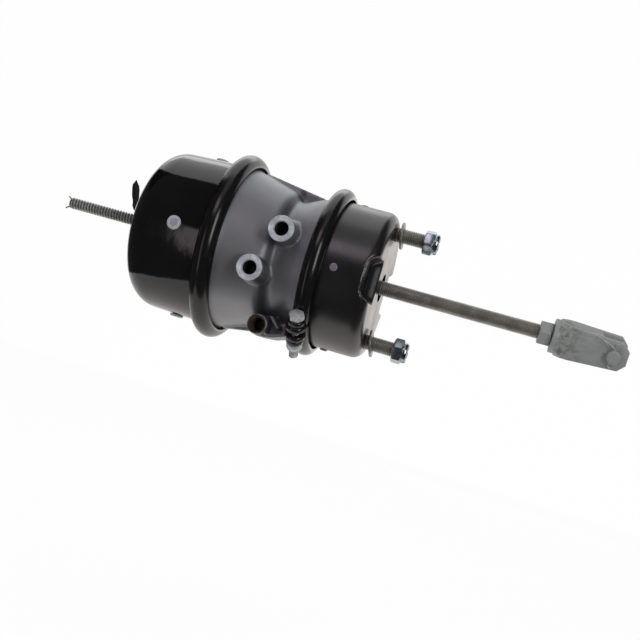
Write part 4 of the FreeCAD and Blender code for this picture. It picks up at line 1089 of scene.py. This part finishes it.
inner_finishes = {
    "push_plate": oiled_steel,
    "hub_guide_bush": acetal,
    "hub_seals": rubber,
    "adapter_pushrod": oiled_steel,
    "adapter_foot": machined,
    "service_diaphragm": rubber,
    "spring_diaphragm": rubber,
    "pressure_plate": cast_skin,
    "power_spring": coated_wire,
    "pushrod_return_spring": oiled_steel,
    "adapter_return_spring": oiled_steel,
}
for name, material in inner_finishes.items():
    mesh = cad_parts[name].data
    mesh.materials.clear()
    mesh.materials.append(material)


# Studio, in metres: white floor and backdrop, a wide light above and behind, small ones in front


def sheet_of(name, corners, material):
    """Flat sheet of the studio between its corners in metres."""
    shape = bmesh.new()
    shape.faces.new([shape.verts.new(corner) for corner in corners])
    mesh = bpy.data.meshes.new(name)
    shape.to_mesh(mesh)
    shape.free()
    mesh.materials.append(material)
    sheet = bpy.data.objects.new(name, mesh)
    scene.collection.objects.link(sheet)
    return sheet


def white_stage(name, corners, shown, mirrored):
    """White card that shows white to the camera, with a faint shadow, and in what mirrors it."""
    material, tree = new_material(name)
    path = add(tree, "ShaderNodeLightPath")
    mirror = add(
        tree,
        "ShaderNodeMath",
        {"operation": "MAXIMUM"},
        {0: path.outputs["Is Glossy Ray"], 1: path.outputs["Is Transmission Ray"]},
    )
    seen = add(
        tree,
        "ShaderNodeMath",
        {"operation": "MULTIPLY", 1: shown},
        {0: path.outputs["Is Camera Ray"]},
    )
    seen = add(
        tree,
        "ShaderNodeMath",
        {"operation": "MAXIMUM"},
        {0: seen.outputs[0], 1: mirror.outputs[0]},
    )
    light = add(
        tree,
        "ShaderNodeMapRange",
        {"To Min": 1, "To Max": mirrored},
        {"Value": mirror.outputs[0]},
    )
    card = add(tree, "ShaderNodeBsdfDiffuse", {"Color": colour("#f4f4f4")})
    glow = add(
        tree,
        "ShaderNodeEmission",
        {"Color": (1, 1, 1, 1)},
        {"Strength": light.outputs["Result"]},
    )
    both = add(
        tree,
        "ShaderNodeMixShader",
        None,
        {0: seen.outputs[0], 1: card.outputs[0], 2: glow.outputs[0]},
    )
    add(tree, "ShaderNodeOutputMaterial", None, {"Surface": both.outputs[0]})
    return sheet_of(name, corners, material)


FLOOR = -0.4
FLOOR_YAW = math.radians(25)
main_floor = ((-0.335, -0.265), (2.746, 1.172), (1.478, 3.89), (-1.603, 2.454))
left_floor = (
    (-0.403, -0.12),
    (-1.603, 2.454),
    (-2.3, 2.7),
    (-1.263, 0.931),
    (-0.895, 0.358),
    (-0.671, 0.085),
    (-0.497, -0.064),
)
white_stage("floor", [(x, y, FLOOR) for x, y in main_floor], 0.96, 0.5)
white_stage("left_floor", [(x, y, FLOOR) for x, y in left_floor], 0.96, 0.95)
white_stage("backdrop", ((-3, 2.6, -0.6), (3, 2.6, -0.6), (3, 2.6, 3.4), (-3, 2.6, 3.4)), 0.98, 1)

# Black card that shades the front left corner of the overhead lamp
CARD_HEIGHT = 0.985
black_card, tree = new_material("black_card")
card_face = add(tree, "ShaderNodeBsdfDiffuse", {"Color": colour("#050505")})
add(tree, "ShaderNodeOutputMaterial", None, {"Surface": card_face.outputs[0]})
flag_edge = (
    (-0.68, -0.24),
    (-0.839, -0.119),
    (-1.087, 0.102),
    (-1.367, 0.459),
    (-1.8, 1.25),
    (-2.3, 1.25),
    (-2.3, -0.3),
)
flag = sheet_of("flag", [(x, y, CARD_HEIGHT) for x, y in flag_edge], black_card)
flag.visible_camera = False


def soft_light(name, place, target, width, height, radiance, tint="#ffffff"):
    """Rectangular lamp whose surface has the stated radiance; it doesn't show in the picture."""
    data = bpy.data.lights.new(name, "AREA")
    data.shape = "RECTANGLE"
    data.size = width
    data.size_y = height
    data.energy = radiance * width * height * math.pi
    data.color = colour(tint)[:3]
    lamp = bpy.data.objects.new(name, data)
    lamp.location = place
    lamp.rotation_mode = "QUATERNION"
    lamp.rotation_quaternion = (Vector(target) - Vector(place)).to_track_quat("-Z", "Y")
    lamp.visible_camera = False
    scene.collection.objects.link(lamp)
    return lamp


soft_light("overhead", (-1.05, 0.5, 1.0), (-1.05, 0.499, 0), 2.4, 1.4, 1.1)
soft_light("overhead_front", (-0.05, -0.55, 1.0), (-0.05, -0.551, 0), 0.7, 0.7, 0.4)
soft_light("front_top", (-0.25, -1.0, 0.74), (-0.1, 0, 0), 0.6, 0.4, 2.1, "#ecdce6")
soft_light("front_right", (0.9, -1.2, 0.3), (0.1, 0, 0), 0.5, 0.9, 4.4)
soft_light("strip_wide", (-0.648, -1.0, -0.35), (-0.2, 0, 0), 0.215, 1.0, 0.9, "#d2c4cc")
soft_light("strip_narrow", (-0.65, -1.0, -0.34), (-0.2, 0, 0), 0.16, 0.88, 1.2, "#d2c4cc")
soft_light("beyond", (0.35, 2.2, 0.2), (0, 0, 0), 0.9, 1.2, 0.5, "#fff2e6")

# Light that the floor throws up, as large as the main sheet and just above it
bounce = soft_light("bounce", (0.572, 1.812, FLOOR + 0.005), (0.572, 1.812, 1), 3.4, 3, 0.45, "#fff3ea")
bounce.rotation_quaternion = (
    Matrix.Rotation(FLOOR_YAW, 4, "Z") @ Matrix.Rotation(math.pi, 4, "X")
).to_quaternion()

# The world is white to the camera and dim to the object
world = bpy.data.worlds.new("studio")
scene.world = world
world.use_nodes = True
tree = world.node_tree
tree.nodes.clear()
path = add(tree, "ShaderNodeLightPath")
mirror = add(
    tree,
    "ShaderNodeMapRange",
    {"To Min": 0.5, "To Max": 0.06},
    {"Value": path.outputs["Is Glossy Ray"]},
)
dim = add(tree, "ShaderNodeBackground", {"Color": (1, 1, 1, 1)}, {"Strength": mirror.outputs["Result"]})
bright = add(tree, "ShaderNodeBackground", {"Color": (1, 1, 1, 1), "Strength": 1})
both = add(
    tree,
    "ShaderNodeMixShader",
    None,
    {0: path.outputs["Is Camera Ray"], 1: dim.outputs[0], 2: bright.outputs[0]},
)
add(tree, "ShaderNodeOutputWorld", None, {"Surface": both.outputs[0]})
